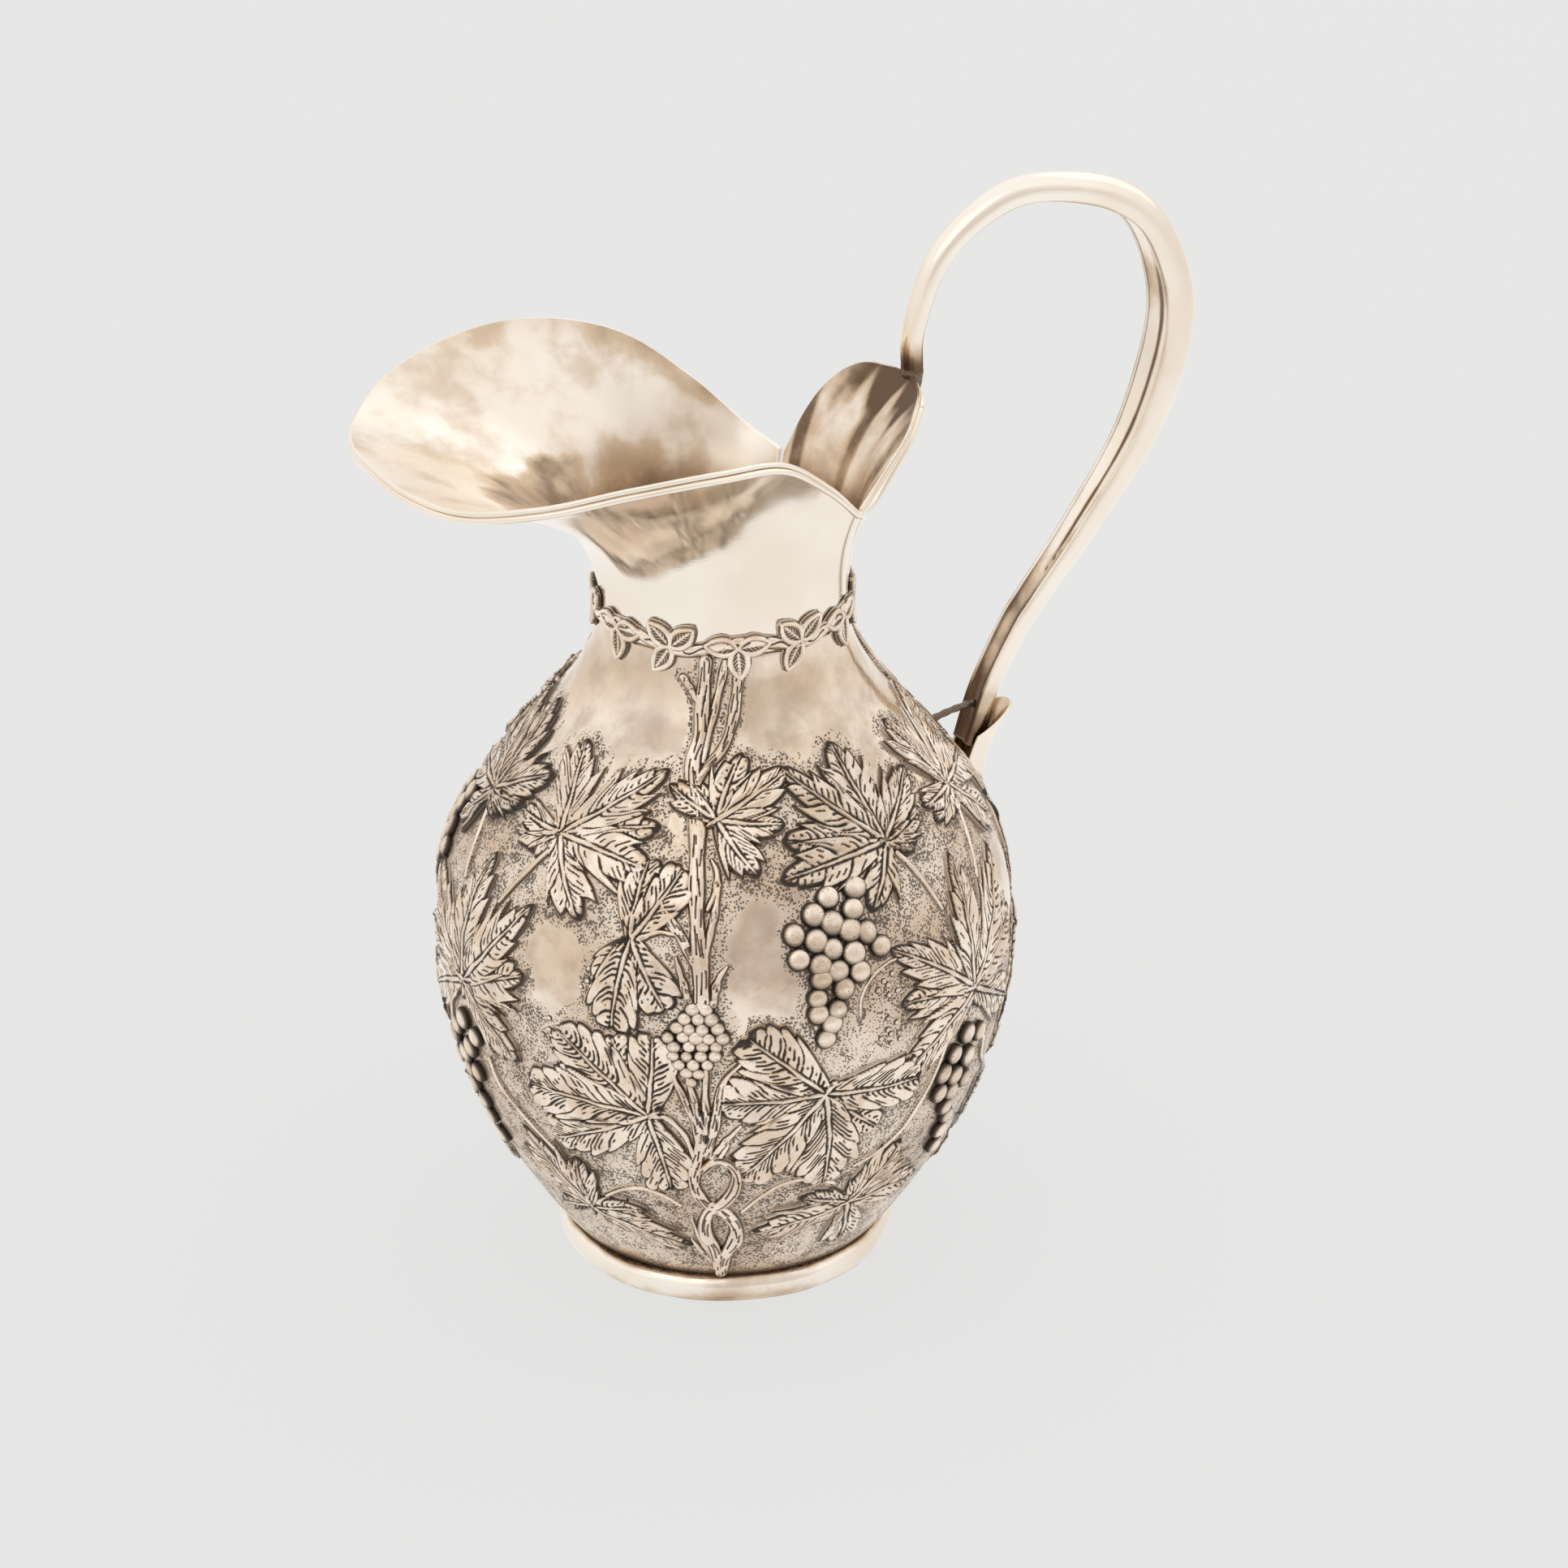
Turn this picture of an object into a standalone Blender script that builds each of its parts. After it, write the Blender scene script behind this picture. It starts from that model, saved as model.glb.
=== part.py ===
"""Silver water pitcher with applied grapevine ornament.

Metres, +Z up. The handle points along +X and the spout along -X. The origin is the middle of
the pitcher's overall box, on the surface that the foot ring stands on.
"""

import math

import bmesh
import bpy
import numpy as np
from mathutils import Matrix, Vector

# Vessel body
BASE_HEIGHT = 0.006
BASE_RADIUS = 0.0375
BELLY_HEIGHT = 0.083
BELLY_RADIUS = 0.0686
NECK_HEIGHT = 0.166
NECK_RADIUS = 0.0294
BELLY_FULLNESS = 0.9
SHOULDER_FULLNESS = 1.27
WALL = 0.0012
ROUND_STEPS = 48

# Soldered joints: sheets and wires keep this gap, castings keep a little more on the round body
SEAT_GAP = 0.0003
RELIEF_SEAT = 0.0006

# Foot ring
FOOT_RADIUS = 0.0417
FOOT_BORE_RADIUS = 0.0325
FOOT_HEIGHT = 0.0074

# Mouth: the notches part the spout sheet from the back lip sheet
NOTCH_ANGLE = math.radians(38.4)
NOTCH_RADIUS = 0.033
NOTCH_HEIGHT = 0.1926
SPOUT_REACH = 0.0876
SPOUT_CREST_HEIGHT = 0.2234
BACK_LIP_REACH = 0.0488
BACK_LIP_HEIGHT = 0.2145
FLARE_POWER = 2.7
RIM_WIRE_RADIUS = 0.0008

# Rims, from the middle to the notch: share of the turn, of the reach past the notch, of the rise
SPOUT_RIM = (
    (0.00, 1.000, 0.79), (0.07, 0.994, 0.765), (0.145, 0.945, 0.75), (0.235, 0.835, 0.86),
    (0.335, 0.650, 0.98), (0.45, 0.455, 1.00), (0.58, 0.234, 0.875), (0.725, 0.122, 0.525),
    (0.87, 0.060, 0.165), (1.00, 0.000, 0.00),
)
BACK_LIP_RIM = (
    (0.00, 1.00, 1.000), (0.25, 0.95, 0.985), (0.50, 0.815, 0.930), (0.75, 0.57, 0.63),
    (1.00, 0.00, 0.00),
)

# Collar garland on the joint of neck and body
COLLAR_HEIGHT = 0.1695
COLLAR_WIRE_RADIUS = 0.0012
COLLAR_WAVE = 0.0014
SPRIG_COUNT = 12
LEAFLET_LENGTH = 0.0066
LEAFLET_WIDTH = 0.0040
LEAFLET_THICKNESS = 0.0018

# Handle: a half-round sheet closed by an inner strip
HANDLE_REACH = 0.1195
HANDLE_TOP = 0.2565
HANDLE_BULGE_HEIGHT = 0.2185
HANDLE_FOOT_HEIGHT = 0.1165
HANDLE_WALL = 0.0010
HANDLE_LIP_TURN = math.radians(122)
HANDLE_FULL_WIDTH = 0.0128
HANDLE_LIP_WIDTH = 0.0056
HANDLE_FOOT_WIDTH = 0.0072

# Handle line: shares of the way from the lip out to the bulge, and from the bulge to the foot
HANDLE_UPPER = (
    (0.000, 0.00), (0.004, 0.27), (0.095, 0.67), (0.272, 0.925), (0.460, 1.00), (0.735, 0.885),
    (0.912, 0.61),
)
HANDLE_LOWER = (
    (1.000, 1.00), (0.865, 0.737), (0.555, 0.496), (0.325, 0.342), (0.225, 0.270), (0.085, 0.130),
    (0.00, 0.00),
)
HANDLE_FULLNESS = ((0.0, 0.0), (0.16, 0.12), (0.34, 0.55), (0.50, 1.0), (0.58, 0.98), (0.75, 0.4),
                   (1.0, 0.0))

# Handle socket leaf and strut twig
SOCKET_HEIGHT = 0.0125
SOCKET_CLEARANCE = 0.0005
SOCKET_WALL = 0.0010
SOCKET_FLARE = 0.1
SOCKET_SPREAD = math.radians(105)
TWIG_RADIUS = 0.0009
TWIG_RISE = 0.0100
TWIG_DROP = 0.0022

# Ornament pattern: a flat sheet this many units round the belly and up the body's outline
PATTERN_ROUND = 431.0
PATTERN_TALL = 178.6
VINE_COUNT = 3
FIRST_VINE_ANGLE = math.radians(1.7)
LEAF_THICKNESS = 0.0008
LEAF_CROWN = 0.0009
LEAF_RIB = 0.0005
LEAF_FURROW = 0.00035
VINE_HEIGHT = 0.0018
VINE_THIN_HEIGHT = 0.0006
GRAPE_HEIGHT = 0.0024
GRAPE_VALLEY = 0.0010

# Leaves: degrees from the trunk, units up the pattern, then lobes of direction, length, half-width
LEAVES = {
    "upper_leaf_left": (-42.0, 131.0, ((102, 23, 6), (58, 26, 5), (36, 25, 4.5), (4, 20, 5),
                                       (-62, 20, 6), (-128, 9, 3), (-160, 13, 3), (172, 13, 3))),
    "upper_leaf_right": (44.5, 129.2, ((134, 26, 6.5), (98, 25, 6), (42, 20, 6), (5, 12.5, 4),
                                       (-28, 9, 3), (168, 24, 4), (-174, 26, 3.5), (-116, 13, 4))),
    "side_leaf": (60.0, 85.5, ((93, 30, 6.5), (46, 31, 6), (134, 31, 6), (18, 25, 4.5),
                               (162, 25, 4.5), (-28, 22, 5), (-152, 22, 5))),
    "hanging_leaf": (-17.5, 111.5, ((95, 13.5, 5), (-135, 13, 3.5), (-103, 18, 5.5), (-60, 14, 3),
                                    (50, 13, 3))),
    "lower_leaf_left": (-14.0, 67.5, ((137, 25, 5), (108, 18, 4.5), (82, 18, 3.5), (174, 27, 6),
                                      (-150, 26, 5.5), (-80, 21, 6))),
    "lower_leaf_right": (22.0, 73.0, ((132, 22, 7), (-179, 17, 4), (-129, 24, 6), (-80, 23, 5),
                                      (-12, 22, 5.5), (-46, 18, 4))),
    "bottom_leaf_left": (-33.0, 29.0, ((120, 26, 4.5), (88, 18, 4), (-12, 20, 4.5), (28, 14, 3),
                                       (-165, 12, 4))),
    "bottom_leaf_right": (33.0, 32.0, ((57, 20, 4), (10, 20, 4.5), (88, 12, 3), (-168, 19, 4.5),
                                       (150, 14, 3.5), (-74, 16, 4.5))),
    "trunk_leaf": (1.5, 140.0, ((79, 16, 4), (150, 12, 4), (115, 11, 3), (34, 16.5, 4.5),
                                (-8, 14.5, 4), (-58, 15.5, 4.5))),
}
LEAF_VALLEY = 0.42

# Grapes: degrees from the trunk, units up the pattern to the top row, pitch; then the grapes in each row
GRAPES = {
    "grape_bunch": (25.5, 114.0, 4.3),
    "side_grapes": (60.5, 70.0, 4.0),
    "trunk_grapes": (-3.2, 95.5, 3.5),
}
GRAPE_COUNTS = {
    "grape_bunch": (3, 4, 5, 4, 3, 3, 2, 1),
    "side_grapes": (2, 3, 2, 3, 2, 1, 2, 1),
    "trunk_grapes": (2, 3, 2, 3, 2, 3, 2),
}

# Vine lines: degrees from the trunk, units up the pattern, half-width in units
TRUNK_LINE = (
    (0.5, 174.5, 3.6), (-1.5, 162.0, 3.8), (-6.0, 152.0, 3.2), (-5.2, 135.0, 2.4),
    (-3.4, 115.0, 2.3), (-3.4, 99.0, 2.3), (-3.0, 78.0, 2.2), (-2.8, 62.0, 2.4), (-2.6, 47.0, 1.9),
    (0.8, 37.5, 1.7), (4.6, 27.5, 1.9), (2.6, 14.0, 1.7), (1.9, 8.0, 1.5),
)
STRAND_LINE = (
    (2.4, 62.0, 1.0), (3.4, 55.0, 1.2), (4.9, 47.0, 1.5), (0.8, 37.5, 1.5), (-3.4, 27.0, 1.5),
    (-2.2, 17.0, 1.4), (-2.4, 10.0, 1.2),
)
STRAND_CROSSING = 37.5
STRAND_CROSSING_SPREAD = 8.0
TRUNK_THIN_SPANS = ((74.0, 101.0), (120.0, 157.0))

SILVER = (0.80, 0.74, 0.66)
DARK_SILVER = (0.62, 0.57, 0.50)

for old in list(bpy.data.objects):
    bpy.data.objects.remove(old, do_unlink=True)

pitcher = bpy.data.collections.new("silver_water_pitcher")
cutters = bpy.data.collections.new("cutters")
bpy.context.scene.collection.children.link(pitcher)
bpy.context.scene.collection.children.link(cutters)

# The vessel's axis stands off the origin, so that the overall box is centred on it
AXIS_X = (SPOUT_REACH - HANDLE_REACH - HANDLE_FULL_WIDTH / 2 + RIM_WIRE_RADIUS) / 2
axis = bpy.data.objects.new("vessel_axis", None)
axis.location = (AXIS_X, 0, 0)
pitcher.objects.link(axis)


def silver(name, colour, roughness):
    material = bpy.data.materials.new(name)
    material.use_nodes = True
    shader = material.node_tree.nodes["Principled BSDF"]
    shader.inputs["Base Color"].default_value = (*colour, 1)
    shader.inputs["Metallic"].default_value = 1
    shader.inputs["Roughness"].default_value = roughness
    return material


def add_object(name, data, colour=SILVER, roughness=0.25):
    piece = bpy.data.objects.new(name, data)
    data.materials.append(silver(name, colour, roughness))
    piece.parent = axis
    pitcher.objects.link(piece)
    return piece


def add_mesh(name, bm, colour=SILVER, roughness=0.25, sharp=math.radians(50)):
    bmesh.ops.recalc_face_normals(bm, faces=bm.faces)
    mesh = bpy.data.meshes.new(name)
    bm.to_mesh(mesh)
    bm.free()
    mesh.shade_smooth()
    mesh.set_sharp_from_angle(angle=sharp)
    return add_object(name, mesh, colour, roughness)


def smooth_line(points, count):
    """Evenly spread points on the Catmull-Rom curve through the given ones."""
    knots = np.array(points, float)
    padded = np.vstack([2 * knots[0] - knots[1], knots, 2 * knots[-1] - knots[-2]])
    dense = []
    for i in range(len(knots) - 1):
        p0, p1, p2, p3 = padded[i:i + 4]
        for t in np.linspace(0, 1, 24, endpoint=i == len(knots) - 2):
            dense.append(0.5 * (2 * p1 + (p2 - p0) * t + (2 * p0 - 5 * p1 + 4 * p2 - p3) * t ** 2
                                + (3 * p1 - p0 - 3 * p2 + p3) * t ** 3))
    dense = np.array(dense)
    steps = np.linalg.norm(np.diff(dense, axis=0), axis=1)
    run = np.concatenate([[0], np.cumsum(steps)]) / steps.sum()
    places = np.linspace(0, 1, count)
    return np.array([[np.interp(p, run, dense[:, k]) for k in range(knots.shape[1])] for p in places])


def loft(bm, rings, closed=True):
    """Faces between successive rings of points, with end caps where the rings don't close."""
    rows = [[bm.verts.new(point) for point in ring] for ring in rings]
    size = len(rows[0])
    pairs = list(zip(rows, rows[1:]))
    if closed:
        pairs.append((rows[-1], rows[0]))
    for row, following in pairs:
        for k in range(size):
            nxt = (k + 1) % size
            bm.faces.new((row[k], row[nxt], following[nxt], following[k]))
    if not closed:
        bm.faces.new(rows[0])
        bm.faces.new(rows[-1])
    bmesh.ops.triangulate(bm, faces=[f for f in bm.faces if len(f.verts) > 4], ngon_method="EAR_CLIP")


def turned(name, profile, colour, roughness):
    """A Screw solid from profile points that run down the outer side at +X."""
    bm = bmesh.new()
    verts = [bm.verts.new((radius, 0, height)) for radius, height in profile]
    for a, b in zip(verts, verts[1:]):
        bm.edges.new((a, b))
    if profile[0][0] > 0:
        bm.edges.new((verts[-1], verts[0]))
    mesh = bpy.data.meshes.new(name)
    bm.to_mesh(mesh)
    bm.free()
    piece = add_object(name, mesh, colour, roughness)
    screw = piece.modifiers.new("turn", "SCREW")
    screw.steps = screw.render_steps = ROUND_STEPS
    screw.use_merge_vertices = True
    screw.merge_threshold = 0.0001
    screw.use_smooth_shade = True
    return piece


def wire(name, points, radius, cyclic=False, resolution=1):
    """A tube along points, as a poly curve with filled ends."""
    curve = bpy.data.curves.new(name, "CURVE")
    curve.dimensions = "3D"
    curve.bevel_depth = radius
    curve.bevel_resolution = resolution
    curve.use_fill_caps = not cyclic
    spline = curve.splines.new("POLY")
    spline.points.add(len(points) - 1)
    spline.use_cyclic_u = cyclic
    for knot, place in zip(spline.points, points):
        knot.co = (*place, 1)
    return curve


def body_radius(height):
    """Outer radius of the body: a full lower bowl and an S-shaped shoulder."""
    if height < BELLY_HEIGHT:
        share = max(0.0, (height - BASE_HEIGHT) / (BELLY_HEIGHT - BASE_HEIGHT))
        return BASE_RADIUS + (BELLY_RADIUS - BASE_RADIUS) * math.sin(math.pi / 2 * share ** BELLY_FULLNESS)
    share = min(1.0, (height - BELLY_HEIGHT) / (NECK_HEIGHT - BELLY_HEIGHT))
    fall = (1 + math.cos(math.pi * share ** SHOULDER_FULLNESS)) / 2
    return NECK_RADIUS + (BELLY_RADIUS - NECK_RADIUS) * fall


OUTLINE_HEIGHTS = np.linspace(BASE_HEIGHT, NECK_HEIGHT, 400)
OUTLINE_RADII = np.array([body_radius(h) for h in OUTLINE_HEIGHTS])
OUTLINE_RUN = np.concatenate([[0], np.cumsum(np.hypot(np.diff(OUTLINE_HEIGHTS), np.diff(OUTLINE_RADII)))])
OUTLINE_SLOPES = np.gradient(OUTLINE_RADII, OUTLINE_HEIGHTS)


def body_height(up):
    """Height of a point that lies so many pattern units up the body's outline."""
    return float(np.interp(up / PATTERN_TALL * OUTLINE_RUN[-1], OUTLINE_RUN, OUTLINE_HEIGHTS))


def on_body(vine, degrees, across, up, lift):
    """A point of the pattern, placed on the body and lifted off it."""
    height = body_height(up)
    radius = body_radius(height)
    start = FIRST_VINE_ANGLE + 2 * math.pi * vine / VINE_COUNT + math.radians(degrees)
    angle = start + 2 * math.pi * across / PATTERN_ROUND * BELLY_RADIUS / radius
    slope = float(np.interp(height, OUTLINE_HEIGHTS, OUTLINE_SLOPES))
    lean = math.hypot(1, slope)
    radius += lift / lean
    return Vector((radius * math.cos(angle), radius * math.sin(angle), height - lift * slope / lean))


def make_body():
    outer = [(body_radius(h), h) for h in smooth_heights(NECK_HEIGHT, BASE_HEIGHT, 20)]
    inner_top = NECK_HEIGHT
    inner_base = BASE_HEIGHT + WALL
    inner = []
    for h in smooth_heights(inner_base, inner_top, 9)[1:]:
        inner.append((body_radius(h) - WALL, h))
    inner.insert(0, (BASE_RADIUS - WALL, inner_base))
    profile = [(0, inner_base), *inner, *outer, (0, BASE_HEIGHT)]
    turned("body_shell", profile, DARK_SILVER, 0.4)


def smooth_heights(start, end, count):
    return [start + (end - start) * k / count for k in range(count + 1)]


def make_foot():
    """A ring with a flat tread, a round outer bead and a cove up to the body's base."""
    seat = BASE_HEIGHT - SEAT_GAP
    bead = FOOT_HEIGHT / 2
    tread = FOOT_RADIUS - bead * 0.6
    arc = []
    for k in range(7):
        turn = math.radians(75 - 130 * k / 6)
        arc.append((FOOT_RADIUS - bead + bead * math.cos(turn), bead + bead * math.sin(turn)))
    cove = (BASE_RADIUS + SEAT_GAP, FOOT_HEIGHT - bead * 0.35)
    profile = [(FOOT_BORE_RADIUS, seat), (BASE_RADIUS, seat), cove, *arc, (tread, 0), (FOOT_BORE_RADIUS, 0)]
    turned("foot_ring", profile, SILVER, 0.2)


def rim_line(stations, turn, reach, top, count):
    """Rim points over both halves, notch to notch: angle, radius, height."""
    half = [(share * turn, NOTCH_RADIUS + out * (reach - NOTCH_RADIUS),
             NOTCH_HEIGHT + rise * (top - NOTCH_HEIGHT)) for share, out, rise in stations]
    whole = [(-angle, radius, height) for angle, radius, height in reversed(half[1:])] + half
    return smooth_line(np.array(whole) * (NECK_RADIUS, 1, 1), count) / (NECK_RADIUS, 1, 1)


def neck_point(rim, share):
    """A point between the neck's foot circle and a rim point, on the flaring line."""
    angle, reach, top = rim
    foot = NECK_HEIGHT + SEAT_GAP
    radius = NECK_RADIUS + (reach - NECK_RADIUS) * share ** FLARE_POWER
    return Vector((radius * math.cos(angle), radius * math.sin(angle), foot + (top - foot) * share))


def neck_sheet(name, stations, facing, turn, reach, top, columns, rows):
    """A flaring neck sheet and the wire outside its rim."""
    seam = SEAT_GAP / 2 / NECK_RADIUS
    rim = rim_line(stations, turn - seam, reach, top, columns + 1)
    rim[:, 0] += facing
    bm = bmesh.new()
    grid = [[bm.verts.new(neck_point(r, k / rows)) for r in rim] for k in range(rows + 1)]
    for lower, upper in zip(grid, grid[1:]):
        for a, b, c, d in zip(lower, lower[1:], upper[1:], upper):
            bm.faces.new((a, b, c, d))
    mesh = bpy.data.meshes.new(name)
    bm.to_mesh(mesh)
    bm.free()
    mesh.shade_smooth()
    piece = add_object(name, mesh, SILVER, 0.2)
    shell = piece.modifiers.new("sheet", "SOLIDIFY")
    shell.thickness = WALL
    shell.offset = -1
    return rim


def rim_wire(name, rim):
    """A wire along the outside of a sheet, just under its rim."""
    points = []
    edge = [neck_point(r, 1) for r in rim]
    for k in range(1, len(rim) - 1):
        along = (edge[k + 1] - edge[k - 1]).normalized()
        rise = (edge[k] - neck_point(rim[k], 0.98)).normalized()
        outward = along.cross(rise).normalized()
        points.append(edge[k] - rise * RIM_WIRE_RADIUS + outward * (RIM_WIRE_RADIUS + SEAT_GAP))
    return add_object(name, wire(name, points, RIM_WIRE_RADIUS), SILVER, 0.2)


def make_neck():
    spout = neck_sheet("neck_spout", SPOUT_RIM, math.pi, math.pi - NOTCH_ANGLE, SPOUT_REACH,
                       SPOUT_CREST_HEIGHT, 38, 7)
    back = neck_sheet("neck_back_lip", BACK_LIP_RIM, 0, NOTCH_ANGLE, BACK_LIP_REACH,
                      BACK_LIP_HEIGHT, 12, 7)
    rim_wire("spout_rim_wire", spout)
    rim_wire("back_rim_wire", back)
    return spout, back


def neck_surface_radius(rims, angle, height):
    """Outer radius of the body or of the neck sheets at a place on the collar."""
    if height <= NECK_HEIGHT:
        return body_radius(height)
    nearest = None
    for rim in rims:
        for station in rim:
            gap = abs(math.remainder(station[0] - angle, 2 * math.pi))
            if nearest is None or gap < nearest[0]:
                nearest = (gap, station)
    _, reach, top = nearest[1]
    share = (height - NECK_HEIGHT) / (top - NECK_HEIGHT)
    return NECK_RADIUS + (reach - NECK_RADIUS) * share ** FLARE_POWER


def make_collar(rims):
    """A waved vine ring with three-leaf sprigs, united into one casting."""
    ring_radius = NECK_RADIUS + SEAT_GAP + COLLAR_WIRE_RADIUS
    points = []
    for k in range(6 * SPRIG_COUNT):
        angle = 2 * math.pi * k / (6 * SPRIG_COUNT)
        height = COLLAR_HEIGHT + COLLAR_WAVE * math.sin(angle * SPRIG_COUNT / 2)
        points.append((ring_radius * math.cos(angle), ring_radius * math.sin(angle), height))
    ring = bpy.data.objects.new("ring", wire("ring", points, COLLAR_WIRE_RADIUS, True))
    cutters.objects.link(ring)
    bpy.context.view_layer.update()
    mesh = bpy.data.meshes.new_from_object(ring.evaluated_get(bpy.context.evaluated_depsgraph_get()))
    bpy.data.objects.remove(ring, do_unlink=True)
    bm = bmesh.new()
    bm.from_mesh(mesh)
    bmesh.ops.remove_doubles(bm, verts=bm.verts, dist=0.00001)
    garland = add_mesh("collar_garland", bm, SILVER, 0.3)
    for k in range(SPRIG_COUNT):
        side = 1 if k % 2 else -1
        for turn in (-100, 0, 100):
            add_leaflet(garland, rims, 2 * math.pi * (k + 0.5) / SPRIG_COUNT, side, math.radians(turn))


def add_leaflet(garland, rims, angle, side, turn):
    """One pointed leaflet of a sprig, united with the garland."""
    crest = COLLAR_HEIGHT + COLLAR_WAVE * math.sin(angle * SPRIG_COUNT / 2)
    middle = LEAFLET_LENGTH * 0.42
    height = crest + side * middle * math.cos(turn)
    place = angle + middle * math.sin(turn) / NECK_RADIUS
    radius = neck_surface_radius(rims, place, height) + SEAT_GAP + LEAFLET_THICKNESS / 2
    bm = bmesh.new()
    size = Matrix.Diagonal((LEAFLET_THICKNESS / 2, LEAFLET_WIDTH / 2, LEAFLET_LENGTH / 2, 1))
    bmesh.ops.create_icosphere(bm, subdivisions=1, radius=1, matrix=size)
    mesh = bpy.data.meshes.new("leaflet")
    bm.to_mesh(mesh)
    bm.free()
    leaflet = bpy.data.objects.new("leaflet", mesh)
    spin = Matrix.Rotation(turn if side > 0 else math.pi - turn, 4, "X")
    stand = Matrix.Rotation(place, 4, "Z")
    leaflet.matrix_world = Matrix.Translation((radius * math.cos(place), radius * math.sin(place), height)) \
        @ stand @ spin
    leaflet.parent = axis
    leaflet.hide_render = True
    leaflet.display_type = "WIRE"
    cutters.objects.link(leaflet)
    unite = garland.modifiers.new("leaflet", "BOOLEAN")
    unite.operation = "UNION"
    unite.object = leaflet


def handle_line():
    """Points of the handle's middle line, lip to foot: reach from the axis, height, half-width."""
    lip = (BACK_LIP_REACH, BACK_LIP_HEIGHT + WALL + SEAT_GAP)
    foot_rest = body_radius(HANDLE_FOOT_HEIGHT) + RELIEF_SEAT + VINE_HEIGHT + HANDLE_FOOT_WIDTH / 2
    line = []
    for out, rise in HANDLE_UPPER:
        line.append((lip[0] + out * (HANDLE_REACH - lip[0]), lip[1] + rise * (HANDLE_TOP - lip[1])))
    for out, rise in HANDLE_LOWER:
        line.append((foot_rest + out * (HANDLE_REACH - foot_rest),
                     HANDLE_FOOT_HEIGHT + rise * (HANDLE_BULGE_HEIGHT - HANDLE_FOOT_HEIGHT)))
    line = smooth_line(line, 30)
    shares = np.linspace(0, 1, len(line))
    full = np.interp(shares, *zip(*HANDLE_FULLNESS))
    ends = HANDLE_LIP_WIDTH + (HANDLE_FOOT_WIDTH - HANDLE_LIP_WIDTH) * shares
    widths = ends + (HANDLE_FULL_WIDTH - ends) * full
    return np.column_stack([line, widths / 2])


def handle_sections(line, outline):
    """Rings of the handle: outline gives points (side, outward) for each half-width."""
    rings = []
    for k, (reach, height, half) in enumerate(line):
        before, after = line[max(k - 1, 0)], line[min(k + 1, len(line) - 1)]
        along = Vector((after[0] - before[0], 0, after[1] - before[1])).normalized()
        outward = Vector((-along.z, 0, along.x))
        middle = Vector((reach, 0, height))
        rings.append([middle + Vector((0, side, 0)) + outward * out for side, out in outline(half)])
    return rings


def shell_outline(half):
    """Three quarters of a round tube, open towards the grip side."""
    turns = [HANDLE_LIP_TURN * (k / 5 - 1) for k in range(11)]
    mouth = [HANDLE_LIP_TURN * (1 - k / 2.5) for k in range(6)]
    middle = -half * (1 + math.cos(HANDLE_LIP_TURN)) / 2
    inner = half - HANDLE_WALL
    outer = [(half * math.sin(t), half * math.cos(t) + middle) for t in turns]
    return outer + [(inner * math.sin(t), inner * math.cos(t) + middle) for t in mouth]


def strip_outline(half):
    """A slightly hollowed strip between the shell's lips."""
    side = (half - HANDLE_WALL) * math.sin(HANDLE_LIP_TURN) - SEAT_GAP
    floor = -half * (1 - math.cos(HANDLE_LIP_TURN)) / 2
    hollow = HANDLE_WALL * 0.5
    return [(-side, floor), (0, floor + hollow), (side, floor), (side, floor + HANDLE_WALL),
            (0, floor + HANDLE_WALL + hollow), (-side, floor + HANDLE_WALL)]


def make_handle():
    line = handle_line()
    for name, outline in (("handle_shell", shell_outline), ("handle_inner_strip", strip_outline)):
        bm = bmesh.new()
        loft(bm, handle_sections(line, outline), closed=False)
        add_mesh(name, bm, SILVER, 0.2)
    return line


def rear_relief(height):
    """How far the rear trunk, or the grapes on it, stand off the body at this height."""
    up = PATTERN_TALL * np.interp(height, OUTLINE_HEIGHTS, OUTLINE_RUN) / OUTLINE_RUN[-1]
    grapes_from, grapes_to = TRUNK_THIN_SPANS[0]
    if grapes_from <= up <= grapes_to:
        return RELIEF_SEAT + VINE_THIN_HEIGHT + SEAT_GAP + GRAPE_HEIGHT
    return RELIEF_SEAT + VINE_HEIGHT


def drop_to_relief(place, down):
    """How far a point travels along down before it seats on the relief of the body."""
    step = SEAT_GAP / 3
    for k in range(int(2 * SOCKET_HEIGHT / step)):
        reached = place + down * k * step
        slope = float(np.interp(reached.z, OUTLINE_HEIGHTS, OUTLINE_SLOPES))
        off_body = (math.hypot(reached.x, reached.y) - body_radius(reached.z)) / math.hypot(1, slope)
        if off_body < rear_relief(reached.z) + 2 * SEAT_GAP:
            return k * step
    return 0.0


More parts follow.
